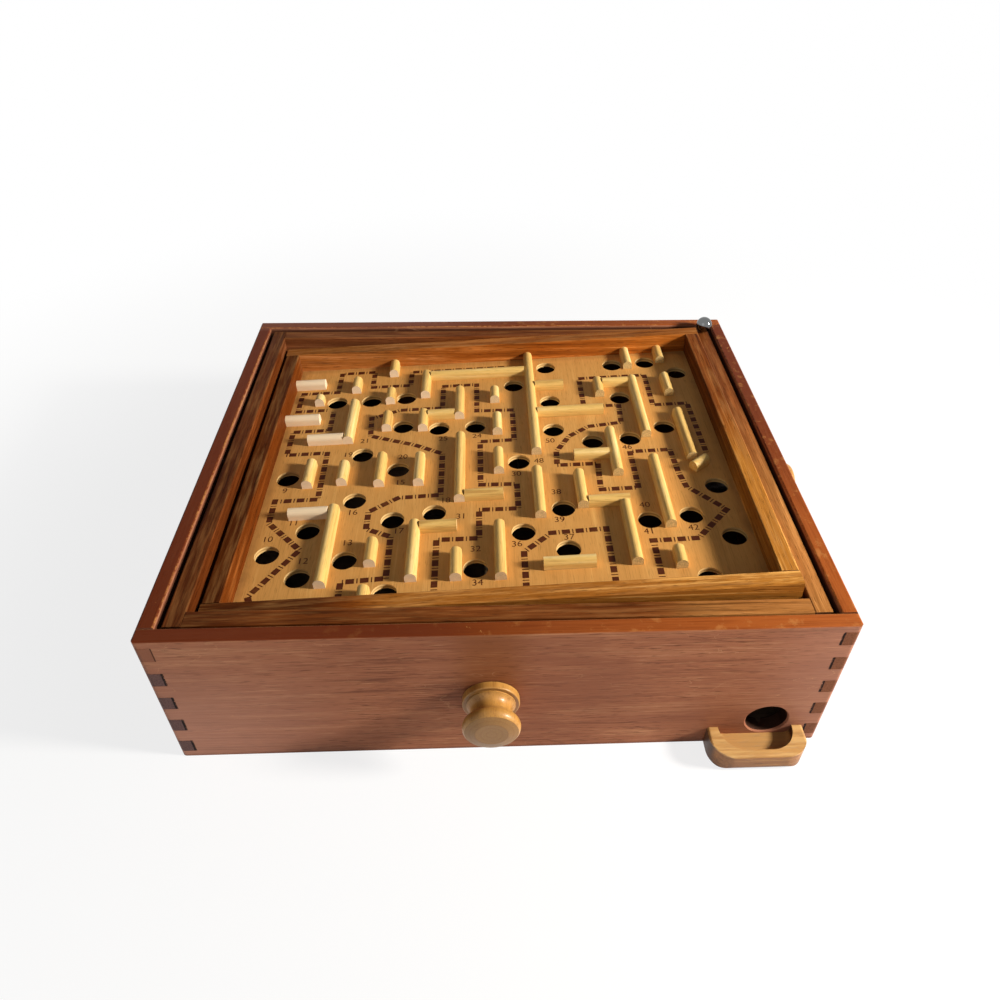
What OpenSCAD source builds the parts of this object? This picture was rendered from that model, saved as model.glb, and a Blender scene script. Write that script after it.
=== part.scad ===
// Tilting labyrinth: a finger-jointed wooden box holds two nested frames that tip about
// crossing axes. The inner frame carries a maze board with drop holes. Two turned knobs
// wind cords on crossing shafts and so tip the frames. A ball that drops through a hole
// rolls down a sloping floor to the exit and into a small catch tray.
// The origin is the middle of the box's underside, X to the right, Y to the back, Z up.

/* [Box] */
// Width of the box, left to right
box_w = 330; // [326:1:360]
// Depth of the box, front to back
box_d = 286; // [282:1:320]
// Height of the box
box_h = 92; // [90:1:100]
// Thickness of the four walls
wall_t = 8; // [7:0.5:9]
// Radius of the box's upright corners
corner_r = 2.5; // [1:0.5:4]
// Rounding of the upper edges of the walls
wall_edge_r = 1.2; // [0.5:0.1:2]
// Number of side wall fingers that show at each corner
fingers = 5; // [4:1:7]
// Glue gap in the finger joints
finger_gap = 0.2; // [0.05:0.05:0.3]

/* [Floor] */
// Thickness of the base board that closes the box below
base_t = 2.5; // [1.5:0.1:2.6]
// Play of the base board between the walls
base_fit = 0.2; // [0.1:0.05:0.4]
// Thickness of the sloping floor panel
floor_t = 3; // [2:0.1:3.2]
// Fall of the floor from back to front, in degrees
floor_fall_front = 2; // [1:0.5:2.5]
// Fall of the floor from left to right, in degrees
floor_fall_right = 1.5; // [1:0.5:2]
// Depth of the groove in the walls that holds the floor
floor_groove = 3; // [2:0.5:4]
// Play of the floor in its groove
floor_fit = 0.1; // [0.05:0.05:0.3]
// Height of the guide wedge in the exit corner
guide_h = 10; // [6:1:14]
// Length of the guide wedge along the right wall
guide_l = 45; // [30:1:70]
// Length of the guide wedge's straight end beside the exit
guide_end = 10; // [5:1:20]

/* [Ball exit and tray] */
// Diameter of the ball exit
exit_d = 21.5; // [18:0.5:23.5]
// Distance of the exit from the right edge of the box
exit_inset = 29.5; // [28:0.5:40]
// Height of the exit's centre
exit_z = 18.5; // [18.5:0.5:22]
// Bevel round the exit
exit_bevel = 0.8; // [0.4:0.1:1.5]
// Width of the catch tray
tray_w = 50; // [46:1:58]
// Depth of the catch tray
tray_d = 17.5; // [16:0.5:24]
// Height of the catch tray
tray_h = 12.8; // [11:0.2:14]
// Radius of the tray's front corners
tray_corner_r = 12; // [8:1:14]
// Distance of the tray's middle from the exit, to the left
tray_shift = 5; // [3:0.5:7]
// Rim in front of the tray's hollow
tray_rim = 4; // [3:0.5:6]
// Rim at the sides of the tray's hollow
tray_side_rim = 5.7; // [4:0.1:7]
// Thickness of the tray's bottom
tray_bottom = 6.4; // [4:0.2:7.2]
// Straight length of the hollow's ends beside the wall, before they round to the front
tray_straight = 0.5; // [0.5:0.5:6]
// Rounding in the bottom of the tray's hollow
tray_hollow_r = 4; // [2:0.5:5]
// Rounding of the tray's upper edges
tray_edge_r = 1.5; // [0.5:0.5:2]
// Rounding under the tray's front
tray_under_r = 4; // [2:0.5:6]

/* [Frames] */
// Gap between the walls and the outer frame, and between the two frames
frame_gap = 2.2; // [2:0.1:4]
// Width of the frame rails
rail_w = 9; // [8:0.5:10]
// Height of the frame rails
rail_h = 20; // [18:0.5:22]
// Rounding of the upper edges of the rails
rail_edge_r = 0.8; // [0.3:0.1:1.5]
// Depth of the rails' tops below the top of the box
frame_drop = 2; // [1:0.5:4]
// Tilt of the inner frame as it stands, right side up, in degrees
rest_tilt = 3; // [0:0.5:5]

/* [Maze] */
// Thickness of the playing board
board_t = 3; // [2.5:0.5:4]
// Depth of the board's face below the rails' tops
board_drop = 13.5; // [12:0.5:14]
// Depth of the groove in the rails that holds the board
board_groove = 4; // [3:0.5:5]
// Play of the board in its groove
board_fit = 0.1; // [0.05:0.05:0.3]
// Diameter of the drop holes
hole_d = 13.2; // [12:0.1:14]
// Spacing of the maze's columns
maze_col = 23; // [22.8:0.1:23.2]
// Distance of the hole columns from the middle of the maze columns, outward
hole_shift = 1.5; // [0.5:0.1:2]
// Distance of the outermost holes' centres from the side rails
hole_edge = 10.5; // [9:0.1:12]
// Width of the maze bars
bar_w = 6; // [5:0.1:6.5]
// Height of the maze bars
bar_h = 6; // [5:0.1:7]
// Length of the slanting block at the end of one bar
stub_l = 11; // [9:0.5:12]
// Turn of the slanting block, in degrees
stub_turn = 37; // [30:1:45]

/* [Drive] */
// Diameter of the two shafts
shaft_d = 5; // [4:0.5:6]
// Distance of the front shaft left of the middle
front_shaft_left = 6; // [0:1:12]
// Height of the front shaft
front_shaft_z = 43.5; // [42:0.5:45]
// Distance of the side shaft behind the middle
side_shaft_back = 4; // [0:1:10]
// Clear height between the crossing shafts
shaft_cross_gap = 2; // [1:0.5:3]
// Running clearance of shafts and pins, in the radius
run_fit = 0.05; // [0.02:0.01:0.1]
// Fit of pins, shafts and screws that are held fast, in the radius
tight_fit = 0.02; // [0.01:0.01:0.05]
// Depth of the bearing holes for shafts and pins
bearing_depth = 5; // [4:0.5:6]
// Diameter of the pivot pins
pin_d = 3; // [2:0.5:4]
// Depth of the pivot pins in the rail that carries them
pin_grip = 7; // [5:0.5:7.5]
// Space left beyond the ends of shafts and pins
end_play = 0.3; // [0.1:0.1:0.6]

/* [Knobs] */
// Diameter of the knob's foot
knob_foot_d = 28; // [26:0.5:30]
// Thickness of the knob's foot
knob_foot_t = 4; // [3.5:0.1:4.5]
// Diameter of the knob's neck
knob_neck_d = 19; // [16:0.5:20]
// Radius of the hollow round the neck
knob_hollow_r = 4.6; // [4.2:0.1:5.2]
// Diameter of the knob's head
knob_head_d = 28; // [27:0.5:30]
// Thickness of the knob's head at its rim
knob_head_t = 8; // [7.5:0.1:8.5]
// Length of the knob from the wall to its face
knob_l = 20.8; // [20.3:0.1:21.8]
// Radius of the dome on the knob's face
knob_dome_r = 45; // [30:1:80]
// Drop of the head's rim below the middle of its face
knob_dome_drop = 0.7; // [0.4:0.1:1]
// Rounding of the foot's edge
knob_foot_r = 0.8; // [0.4:0.1:1]
// Running gap between a knob and the wall
knob_gap = 0.4; // [0.3:0.1:0.8]
// Depth of the shaft in the knob
knob_grip = 16; // [10:1:18]

/* [Cords and springs] */
// Diameter of the cords
cord_d = 1; // [0.8:0.1:1.2]
// Turns of a cord round its shaft
cord_turns = 3; // [2:1:4]
// Spacing of the turns
cord_pitch = 1.6; // [1.5:0.1:2]
// Space between cord and shaft
cord_gap = 0.3; // [0.2:0.05:0.4]
// Distance of the inner frame's cord in front of the side shaft
cord_clear_side = 14; // [11:1:20]
// Distance of the outer frame's cord right of the front shaft
cord_clear_front = 18; // [14:1:24]
// Outer diameter of the screw eyes
eye_d = 6; // [5:0.5:7]
// Wire thickness of the screw eyes
eye_wire = 1.5; // [1.2:0.1:1.8]
// Distance of the screw eyes from the outer face of their rail
eye_inset = 3; // [2:0.1:3.5]
// Depth of the screw eyes in the rails
eye_grip = 8; // [6:0.5:10]
// Space between cord, spring and screw eye
hook_gap = 0.2; // [0.1:0.1:0.4]
// Outer diameter of the cord springs
spring_d = 5; // [4:0.5:6]
// Wire thickness of the cord springs
spring_wire = 0.7; // [0.5:0.1:0.8]
// Turns of the cord springs
spring_turns = 10; // [6:1:14]
// Spacing of the spring turns
spring_pitch = 1.3; // [1.2:0.1:1.6]

/* [Ball] */
// Diameter of the steel ball
ball_d = 11; // [10:0.1:12]
// Distance of the ball from the right wall
ball_clear_side = 0.6; // [0.4:0.1:1]
// Distance of the ball from the back wall
ball_clear_back = 1.4; // [1.2:0.1:1.8]
// Space between the ball and the rail under it
ball_lift = 0.2; // [0.1:0.05:0.3]

/* [Hidden] */
$fn = 64;
eps = 0.01;
reach = 2 * (box_w + box_d);

// Box
cavity_w = box_w - 2 * wall_t;
cavity_d = box_d - 2 * wall_t;
finger_pitch = box_h / fingers;
finger_h = finger_pitch / 2;
exit_x = box_w / 2 - exit_inset;
tray_x = exit_x - tray_shift;

// Frames and board: the pivot axes cross at half the height of the rails
frame_top = box_h - frame_drop;
pivot_z = frame_top - rail_h / 2;
outer_w = cavity_w - 2 * frame_gap;
outer_d = cavity_d - 2 * frame_gap;
inner_w = outer_w - 2 * rail_w - 2 * frame_gap;
inner_d = outer_d - 2 * rail_w - 2 * frame_gap;
play_w = inner_w - 2 * rail_w;
play_d = inner_d - 2 * rail_w;
board_z = rail_h / 2 - board_drop;

// Drive
front_shaft_x = -front_shaft_left;
side_shaft_y = side_shaft_back;
side_shaft_z = front_shaft_z + shaft_d + shaft_cross_gap;
inner_cord_y = side_shaft_y - cord_clear_side;
outer_cord_x = front_shaft_x + cord_clear_front;
cord_drift = cord_pitch * cord_turns / 2;
eye_z = -rail_h / 2 - eye_d / 2;
inner_eye_x = inner_w / 2 - eye_inset;
outer_eye_y = outer_d / 2 - eye_inset;
spring_lead = 2 * spring_wire;
spring_l = spring_pitch * spring_turns + 2 * spring_lead;
eye_stop = eye_d / 2 + hook_gap;

// Depth of the board that the maze is laid out for; its rows stretch to the real depth
maze_d = 225.2;
row = play_d / maze_d;

// Places of the drop holes as [column, row]. Columns are counted outward from the middle,
// left ones negative; the sixth lies beside the rail. Rows are counted back from the middle.
holes = [
    [-5, 71], [-4, 71], [-3, 72], [-3, 40], [-2, 36], [-1, 36],
    [-4, 13], [-3, -3], [-6, -6], [-4, -29], [-3, -47], [-2, -43],
    [-5, -52], [-6, -69], [-4, -76], [-5, -87], [-1, -87], [-3, -101],
    [1, 80], [2, 100], [4, 99], [5, 100], [6, 85], [2, 59],
    [2, 28], [4, 59], [5, 25], [4, 15], [3, 14], [1, -2],
    [2, -45], [1, -62], [2, -77], [4, -58], [5, -56], [6, -33],
    [6, -74], [5, -102]
];

// Row of the front end of the bar that has the slanting block before it
stub_bar_front = -9;

// Bars along the board as [column line, shift to the right, front row, back row]
bars_along = [
    [-3, 0, 99, maze_d / 2], [-4, -1, 81, 93], [-3, 0, 66, 78], [-2, 0, 71, 97],
    [-5, -1, 68, 74], [-4, 0, 25, 66], [-3, 0, 36, 51], [-2, 0, 34, 51],
    [-1, 0, 45, 75], [0, 0, 61, 73], [0, 1, 26, 43],
    [-5, 4, -16, 5], [-4, 1, -15, 2], [-3, 0, -18, 8], [-2, 0, -19, 6],
    [-1, 1, -35, 24], [-4, 0, -95, -37], [-3, 1, -82, -65], [-2, 0, -94, -53],
    [-1, 0, -95, -76], [-3, 0, -maze_d / 2, -99],
    [1, 1, 4, maze_d / 2], [0, 1, -12, 7], [1, 0, -52, -13], [0, 0, -96, -57],
    [2, 1, -46, -18], [3, 1, -20, 21], [4, 0, 15, 77], [4, 0, 93, maze_d / 2],
    [5, 0, 98, maze_d / 2], [5, -1, 58, 78], [3, 1, -91, -46], [4, 0, -65, -8],
    [4, 0, -95, -83], [5, 0, stub_bar_front, 37], [3, 0, 61, 77]
];

// Bars across the board as [row, left end, right end]
bars_across = [
    [91, -play_w / 2, line(-5)], [50, -play_w / 2, line(-5) + 2],
    [28, line(-5) - 2, meet(-4, 0, -1)], [-40, line(-5) - 2, meet(-4, 0, -1)],
    [94, meet(-2, 0, 1), meet(1, 1, -1)], [48, meet(-2, 0, 1), meet(-1, 0, -1)],
    [-32, meet(-1, 1, 1), line(0) + 3], [-56, meet(-2, 0, 1), line(-1)],
    [75, meet(1, 1, 1), line(2)], [44.5, meet(1, 1, 1), line(3)],
    [-1, line(2), meet(3, 1, -1)], [-43, meet(2, 1, 1), meet(3, 1, 1)],
    [-88.3, line(1) - 1, line(2) + 3], [74, meet(3, 0, 1), meet(4, 0, -1)]
];

// Distance from the middle to a column line, to a bar's flank on it, and to a hole column
function line(c) = c * maze_col;
function meet(c, shift, side) = line(c) + shift + side * bar_w / 2;
function hole_x(c) = sign(c) * (abs(c) < 6
    ? (abs(c) - 0.5) * maze_col + hole_shift
    : play_w / 2 - hole_edge);

// A point of the inner frame, tipped as it stands
function tipped(p) = [
    p[0] * cos(rest_tilt) - p[2] * sin(rest_tilt),
    p[1],
    pivot_z + p[0] * sin(rest_tilt) + p[2] * cos(rest_tilt)
];

function unit(v) = v / norm(v);
function smooth(t) = let (u = max(0, min(1, t))) u * u * (3 - 2 * u);

// Direction of travel at a point of a path
function heading(path, i) =
    unit(path[min(i + 1, len(path) - 1)] - path[max(i - 1, 0)]);

// Least distance between the surfaces of turns that lie more than half a turn apart
function self_gap(path, d, skip) = min([
    for (i = [0 : len(path) - 1 - skip])
        for (j = [i + skip : len(path) - 1])
            norm(path[i] - path[j])
]) - d;

// Flat route of a cord from a first point to a second, wound round a shaft between them.
// Each point is [sideways, up, drift along the shaft].
function cord_route(a, b, shaft) =
    let (r = shaft_d / 2 + cord_gap + cord_d / 2)
    let (to_a = [a[0], a[1]] - shaft)
    let (to_b = [b[0], b[1]] - shaft)
    let (first = atan2(to_a[1], to_a[0]) + acos(r / norm(to_a)) - 360)
    let (last = atan2(to_b[1], to_b[0]) - acos(r / norm(to_b)) + 360 * cord_turns)
    let (steps = 24 * cord_turns)
    concat(
        [[a[0], a[1], -cord_drift]],
        [for (i = [0 : steps])
            let (turn = first + (last - first) * i / steps)
            [
                shaft[0] + r * cos(turn),
                shaft[1] + r * sin(turn),
                cord_drift * (2 * i / steps - 1)
            ]],
        [[b[0], b[1], cord_drift]]
    );

// A point on the line from a place to another, at a set distance from the first
function toward(from, to, dist) = from + unit(to - from) * dist;

// Helix of a cord spring from one point to another, its ends drawn in to the axis
function spring_path(from, to, side) =
    let (axis = unit(to - from))
    let (u = unit(side - axis * (side * axis)))
    let (v = cross(axis, u))
    let (r = (spring_d - spring_wire) / 2)
    let (steps = 8 * spring_turns)
    concat(
        [from],
        [for (i = [0 : steps])
            let (grow = smooth(i / 8) * smooth((steps - i) / 8))
            from + axis * (spring_lead + spring_pitch * i / 8)
                + (u * cos(45 * i) + v * sin(45 * i)) * r * grow],
        [to]
    );

// Tube swept along a path that never runs along the side direction
module tube(path, d, side, sides = 6) {
    n = len(path);
    rings = [for (i = [0 : n - 1])
        let (t = heading(path, i))
        let (u = unit(side - t * (side * t)))
        let (v = cross(t, u))
        for (k = [0 : sides - 1])
            path[i] + (u * cos(360 * k / sides) + v * sin(360 * k / sides)) * d / 2];
    walls = [for (i = [0 : n - 2])
        for (k = [0 : sides - 1])
            let (a = i * sides + k)
            let (b = i * sides + (k + 1) % sides)
            each [[a, a + sides, b + sides], [a, b + sides, b]]];
    first_end = [for (k = [1 : sides - 2]) [0, k, k + 1]];
    last = (n - 1) * sides;
    last_end = [for (k = [1 : sides - 2]) [last, last + k + 1, last + k]];
    polyhedron(rings, concat(walls, first_end, last_end));
}

// Profiles

// Rectangle that stands on the base line, with its two upper corners rounded
module rounded_top(w, h, r) {
    translate([-w / 2, 0])
        square([w, h - r]);
    translate([-w / 2 + r, 0])
        square([w - 2 * r, h]);
    for (s = [-1, 1])
        translate([s * (w / 2 - r), h - r])
            circle(r);
}

module rounded_rect(w, d, r) {
    square([w, d - 2 * r], center = true);
    square([w - 2 * r, d], center = true);
    for (sx = [-1, 1], sy = [-1, 1])
        translate([sx * (w / 2 - r), sy * (d / 2 - r)])
            circle(r);
}

// Profile drawn as [sideways, up] and drawn out along X or along Y, about the middle
module along_x(l) {
    translate([-l / 2, 0, 0])
        rotate([90, 0, 90])
            linear_extrude(l)
                children();
}

module along_y(l) {
    translate([0, l / 2, 0])
        rotate([90, 0, 0])
            linear_extrude(l)
                children();
}

// Rod that lies along X or along Y, from one place to another
module rod_x(d, from, to, y, z) {
    translate([from, y, z])
        rotate([0, 90, 0])
            cylinder(d = d, h = to - from);
}

module rod_y(d, from, to, x, z) {
    translate([x, from, z])
        rotate([-90, 0, 0])
            cylinder(d = d, h = to - from);
}

// Box

// Outer form of the box, with its rounded corners and upper edges
module box_form() {
    intersection() {
        linear_extrude(box_h)
            rounded_rect(box_w, box_d, corner_r);
        along_x(box_w)
            rounded_top(box_d, box_h, wall_edge_r);
        along_y(box_d)
            rounded_top(box_w, box_h, wall_edge_r);
    }
}

// The side walls' fingers, rooted in the walls; a gap makes the notches that take them
module corner_fingers(gap) {
    l = 2 * wall_t;
    for (sx = [-1, 1], sy = [-1, 1], i = [0 : fingers - 1])
        translate([
            sx * (box_w / 2 - wall_t / 2),
            sy * (box_d / 2 - l / 2),
            i * finger_pitch + finger_h
        ])
            cube([wall_t + 2 * gap, l + 2 * gap, finger_h + 2 * gap], center = true);
}

// Space of the floor between its upper and lower face; a gap makes the groove
module floor_slab(from, to, w, d) {
    intersection() {
        translate([exit_x, -cavity_d / 2, exit_z - exit_d / 2])
            rotate([floor_fall_front, floor_fall_right, 0])
                translate([-reach / 2, -reach / 2, from])
                    cube([reach, reach, to - from]);
        translate([-w / 2, -d / 2, 0])
            cube([w, d, box_h]);
    }
}

module floor_groove_cut() {
    floor_slab(-floor_t - floor_fit, floor_fit,
        cavity_w + 2 * floor_groove, cavity_d + 2 * floor_groove);
}

// Wall along X at the front (-1) or at the back (1)
module long_wall(side) {
    intersection() {
        box_form();
        difference() {
            along_x(box_w)
                translate([side * (box_d / 2 - wall_t / 2), 0])
                    rounded_top(wall_t, box_h, wall_edge_r);
            corner_fingers(finger_gap);
            floor_groove_cut();
        }
    }
}

// Wall along Y at the left (-1) or at the right (1), with its fingers
module side_wall(side) {
    intersection() {
        box_form();
        difference() {
            union() {
                along_y(cavity_d - 2 * finger_gap)
                    translate([side * (box_w / 2 - wall_t / 2), 0])
                        rounded_top(wall_t, box_h, wall_edge_r);
                intersection() {
                    corner_fingers(0);
                    translate([side * (box_w / 2 - wall_t / 2), 0, box_h / 2])
                        cube([wall_t, reach, reach], center = true);
                }
            }
            floor_groove_cut();
        }
    }
}

// Bore for a shaft through a wall, or a blind bearing hole in the wall across from it
module front_shaft_bores() {
    rod_y(shaft_d + 2 * run_fit, -box_d / 2 - eps, cavity_d / 2 + bearing_depth,
        front_shaft_x, front_shaft_z);
}

module side_shaft_bores() {
    rod_x(shaft_d + 2 * run_fit, -cavity_w / 2 - bearing_depth, box_w / 2 + eps,
        side_shaft_y, side_shaft_z);
}

module outer_pin_bores() {
    rod_x(pin_d + 2 * run_fit, -cavity_w / 2 - bearing_depth, cavity_w / 2 + bearing_depth,
        0, pivot_z);
}

module front_wall() {
    color("#8b5a44")
        difference() {
            long_wall(-1);
            front_shaft_bores();
            translate([exit_x, -box_d / 2, exit_z])
                rotate([-90, 0, 0]) {
                    translate([0, 0, -eps])
                        cylinder(d = exit_d, h = wall_t + 2 * eps);
                    translate([0, 0, -eps])
                        cylinder(d1 = exit_d + 2 * exit_bevel, d2 = exit_d, h = exit_bevel);
                }
        }
}

module back_wall() {
    color("#8b5a44")
        difference() {
            long_wall(1);
            front_shaft_bores();
        }
}

module left_wall() {
    color("#84503a")
        difference() {
            side_wall(-1);
            side_shaft_bores();
            outer_pin_bores();
        }
}

module right_wall() {
    color("#84503a")
        difference() {
            side_wall(1);
            side_shaft_bores();
            outer_pin_bores();
        }
}

module base_board() {
    color("#a9825a")
        translate([-cavity_w / 2 + base_fit, -cavity_d / 2 + base_fit, 0])
            cube([cavity_w - 2 * base_fit, cavity_d - 2 * base_fit, base_t]);
}

module floor_panel() {
    edge = floor_groove - floor_fit;
    color("#b98f5c")
        floor_slab(-floor_t, 0, cavity_w + 2 * edge, cavity_d + 2 * edge);
}

// Wedge that turns a ball away from the corner beside the exit
module exit_guide() {
    right = cavity_w / 2;
    front = -cavity_d / 2;
    beside = exit_x + exit_d / 2;
    color("#b98f5c")
        intersection() {
            floor_slab(0, guide_h, cavity_w, cavity_d);
            linear_extrude(box_h)
                polygon([
                    [beside, front], [right, front],
                    [right, front + guide_l], [beside, front + guide_end]
                ]);
        }
}

// Plan of the tray or of its hollow, open to the wall, with rounded front corners
module tray_plan(w, d, r) {
    translate([-w / 2, -d + r])
        square([w, d - r]);
    translate([-w / 2 + r, -d])
        square([w - 2 * r, d]);
    for (s = [-1, 1])
        translate([s * (w / 2 - r), -d + r])
            circle(r);
}

// Side view of the tray: the front rounded below and above
module tray_side() {
    translate([-tray_d + tray_under_r, 0])
        square([tray_d - tray_under_r, tray_h - tray_edge_r]);
    translate([-tray_d + tray_edge_r, tray_under_r])
        square([tray_d - tray_edge_r, tray_h - tray_under_r]);
    translate([-tray_d, tray_under_r])
        square([tray_d, tray_h - tray_under_r - tray_edge_r]);
    translate([-tray_d + tray_under_r, tray_under_r])
        circle(tray_under_r);
    translate([-tray_d + tray_edge_r, tray_h - tray_edge_r])
        circle(tray_edge_r);
}

// Hollow of the tray, its bottom rounded like the mark of a round cutter
module tray_hollow() {
    w = tray_w - 2 * tray_side_rim;
    d = tray_d - tray_rim;
    intersection() {
        translate([0, 0, tray_bottom])
            linear_extrude(tray_h)
                tray_plan(w, d, d - tray_straight);
        translate([0, 0, tray_bottom + tray_h])
            mirror([0, 0, 1])
                along_x(w)
                    rounded_top(2 * d, tray_h, tray_hollow_r);
        translate([0, 0, tray_bottom + tray_h])
            mirror([0, 0, 1])
                along_y(2 * d)
                    rounded_top(w, tray_h, tray_hollow_r);
    }
}

module catch_tray() {
    color("#cd9146")
        translate([tray_x, -box_d / 2, 0])
            difference() {
                intersection() {
                    linear_extrude(tray_h)
                        tray_plan(tray_w, tray_d, tray_corner_r);
                    along_x(tray_w)
                        tray_side();
                    along_y(2 * tray_d)
                        rounded_top(tray_w, tray_h, tray_edge_r);
                }
                tray_hollow();
            }
}

// Frames

// Rail profile about the pivot axis
module rail_profile() {
    translate([0, -rail_h / 2])
        rounded_top(rail_w, rail_h, rail_edge_r);
}

// Side rails of the outer frame run its whole length and hold the pins to the box
module outer_side_rail(side) {
    x = side * (outer_w / 2 - rail_w / 2);
    outside = side * outer_w / 2;
    color("#6b4228")
        difference() {
            translate([x, 0, pivot_z])
                along_y(outer_d)
                    rail_profile();
            rod_x(pin_d + 2 * tight_fit, min(outside, outside - side * pin_grip) - eps,
                max(outside, outside - side * pin_grip) + eps, 0, pivot_z);
        }
}

// Front and back rails of the outer frame stand between them and take the inner pins
module outer_cross_rail(side) {
    y = side * (outer_d / 2 - rail_w / 2);
    inside = side * (outer_d / 2 - rail_w);
    color("#7a4b2c")
        difference() {
            translate([0, y, pivot_z])
                along_x(outer_w - 2 * rail_w)
                    rail_profile();
            rod_y(pin_d + 2 * run_fit, min(inside, inside + side * bearing_depth) - eps,
                max(inside, inside + side * bearing_depth) + eps, 0, pivot_z);
            outer_eye_bore(side);
        }
}

module outer_left_rail() {
    outer_side_rail(-1);
}

module outer_right_rail() {
    outer_side_rail(1);
}

module outer_front_rail() {
    outer_cross_rail(-1);
}

module outer_back_rail() {
    outer_cross_rail(1);
}

module outer_pivot_pins() {
    inside = outer_w / 2 - pin_grip + end_play;
    outside = cavity_w / 2 + bearing_depth - end_play;
    color("#b8bcc0") {
        rod_x(pin_d, inside, outside, 0, pivot_z);
        rod_x(pin_d, -outside, -inside, 0, pivot_z);
    }
}

// The inner frame and all it carries, tipped about its pivot axis
module inner_frame() {
    translate([0, 0, pivot_z])
        rotate([0, -rest_tilt, 0])
            children();
}

module board_blank(gap) {
    w = play_w + 2 * board_groove - 2 * board_fit + 2 * gap;
    d = play_d + 2 * board_groove - 2 * board_fit + 2 * gap;
    translate([-w / 2, -d / 2, board_z - board_t - gap])
        cube([w, d, board_t + 2 * gap]);
}

// Side rails of the inner frame stand between the front and back rails
module inner_side_rail(side) {
    color("#a4632f")
        inner_frame()
            difference() {
                translate([side * (inner_w / 2 - rail_w / 2), 0, 0])
                    along_y(inner_d - 2 * rail_w)
                        rail_profile();
                board_blank(board_fit);
                inner_eye_bore(side);
            }
}

module inner_cross_rail(side) {
    outside = side * inner_d / 2;
    color("#94582c")
        inner_frame()
            difference() {
                translate([0, side * (inner_d / 2 - rail_w / 2), 0])
                    along_x(inner_w)
                        rail_profile();
                board_blank(board_fit);
                rod_y(pin_d + 2 * tight_fit, min(outside, outside - side * pin_grip) - eps,
                    max(outside, outside - side * pin_grip) + eps, 0, 0);
            }
}

module inner_left_rail() {
    inner_side_rail(-1);
}

module inner_right_rail() {
    inner_side_rail(1);
}

module inner_front_rail() {
    inner_cross_rail(-1);
}

module inner_back_rail() {
    inner_cross_rail(1);
}

module inner_pivot_pins() {
    inside = inner_d / 2 - pin_grip + end_play;
    outside = outer_d / 2 - rail_w + bearing_depth - end_play;
    color("#b8bcc0")
        inner_frame() {
            rod_y(pin_d, inside, outside, 0, 0);
            rod_y(pin_d, -outside, -inside, 0, 0);
        }
}

// Maze

module playing_board() {
    color("#cda05f")
        inner_frame()
            difference() {
                board_blank(0);
                for (h = holes)
                    translate([hole_x(h[0]), h[1] * row, board_z - board_t - eps])
                        cylinder(d = hole_d, h = board_t + 2 * eps);
            }
}

// Half-round batten that stands on the board
module bar_profile() {
    rounded_top(bar_w, bar_h, bar_w / 2 - eps);
}

module maze_bars_along() {
    color("#ebcd82")
        inner_frame()
            for (b = bars_along)
                translate([line(b[0]) + b[1], (b[2] + b[3]) / 2 * row, board_z])
                    along_y((b[3] - b[2]) * row)
                        bar_profile();
}

module maze_bars_across() {
    color("#ebcd82")
        inner_frame() {
            for (b = bars_across)
                translate([(b[1] + b[2]) / 2, b[0] * row, board_z])
                    along_x(b[2] - b[1])
                        bar_profile();
            translate([meet(5, 0, 1), stub_bar_front * row - bar_w, board_z])
                rotate([0, 0, stub_turn])
                    along_x(stub_l)
                        bar_profile();
        }
}

// Drive

// Turned knob along Z from the wall: foot, hollow neck and domed head, the neck's hollow
// running smoothly into the head
module knob_profile() {
    foot_r = knob_foot_d / 2;
    rim_r = knob_head_t / 2;
    rim = [knob_head_d / 2 - rim_r, knob_l - knob_dome_drop - rim_r];
    hollow_x = knob_neck_d / 2 + knob_hollow_r;
    reach_r = knob_hollow_r + rim_r;
    hollow = [hollow_x, rim[1] - sqrt(reach_r ^ 2 - (hollow_x - rim[0]) ^ 2)];
    blend = rim + (hollow - rim) * rim_r / reach_r;
    intersection() {
        union() {
            difference() {
                union() {
                    translate([0, knob_gap])
                        square([foot_r, knob_foot_t - knob_gap - knob_foot_r]);
                    translate([0, knob_gap])
                        square([foot_r - knob_foot_r, knob_foot_t - knob_gap]);
                    translate([foot_r - knob_foot_r, knob_foot_t - knob_foot_r])
                        circle(knob_foot_r);
                    translate([0, knob_gap])
                        square([blend[0], blend[1] - knob_gap]);
                }
                translate(hollow)
                    circle(knob_hollow_r);
            }
            translate([0, rim[1] - rim_r])
                square([rim[0], 2 * rim_r]);
            translate(rim)
                circle(rim_r);
        }
        translate([0, knob_l - knob_dome_r])
            circle(knob_dome_r, $fn = 256);
        square([knob_head_d, knob_l]);
    }
}

module knob() {
    difference() {
        rotate_extrude()
            knob_profile();
        translate([0, 0, -eps])
            cylinder(d = shaft_d + 2 * tight_fit, h = knob_grip);
    }
}

module front_knob() {
    color("#e1b464")
        translate([front_shaft_x, -box_d / 2, front_shaft_z])
            rotate([90, 0, 0])
                knob();
}

module side_knob() {
    color("#e1b464")
        translate([box_w / 2, side_shaft_y, side_shaft_z])
            rotate([0, 90, 0])
                knob();
}

module front_shaft() {
    color("#aeb2b6")
        rod_y(shaft_d, -box_d / 2 - knob_grip + end_play,
            cavity_d / 2 + bearing_depth - end_play, front_shaft_x, front_shaft_z);
}

module side_shaft() {
    color("#aeb2b6")
        rod_x(shaft_d, -cavity_w / 2 - bearing_depth + end_play,
            box_w / 2 + knob_grip - end_play, side_shaft_y, side_shaft_z);
}

// Screw eye that hangs under a rail, its ring across Y, about the pivot axis
module screw_eye() {
    translate([0, 0, eye_z])
        rotate([90, 0, 0])
            rotate_extrude()
                translate([eye_d / 2 - eye_wire / 2, 0])
                    circle(d = eye_wire, $fn = 32);
    translate([0, 0, -rail_h / 2 - eye_wire / 2])
        cylinder(d = eye_wire, h = eye_grip + eye_wire / 2 - end_play);
}

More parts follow.
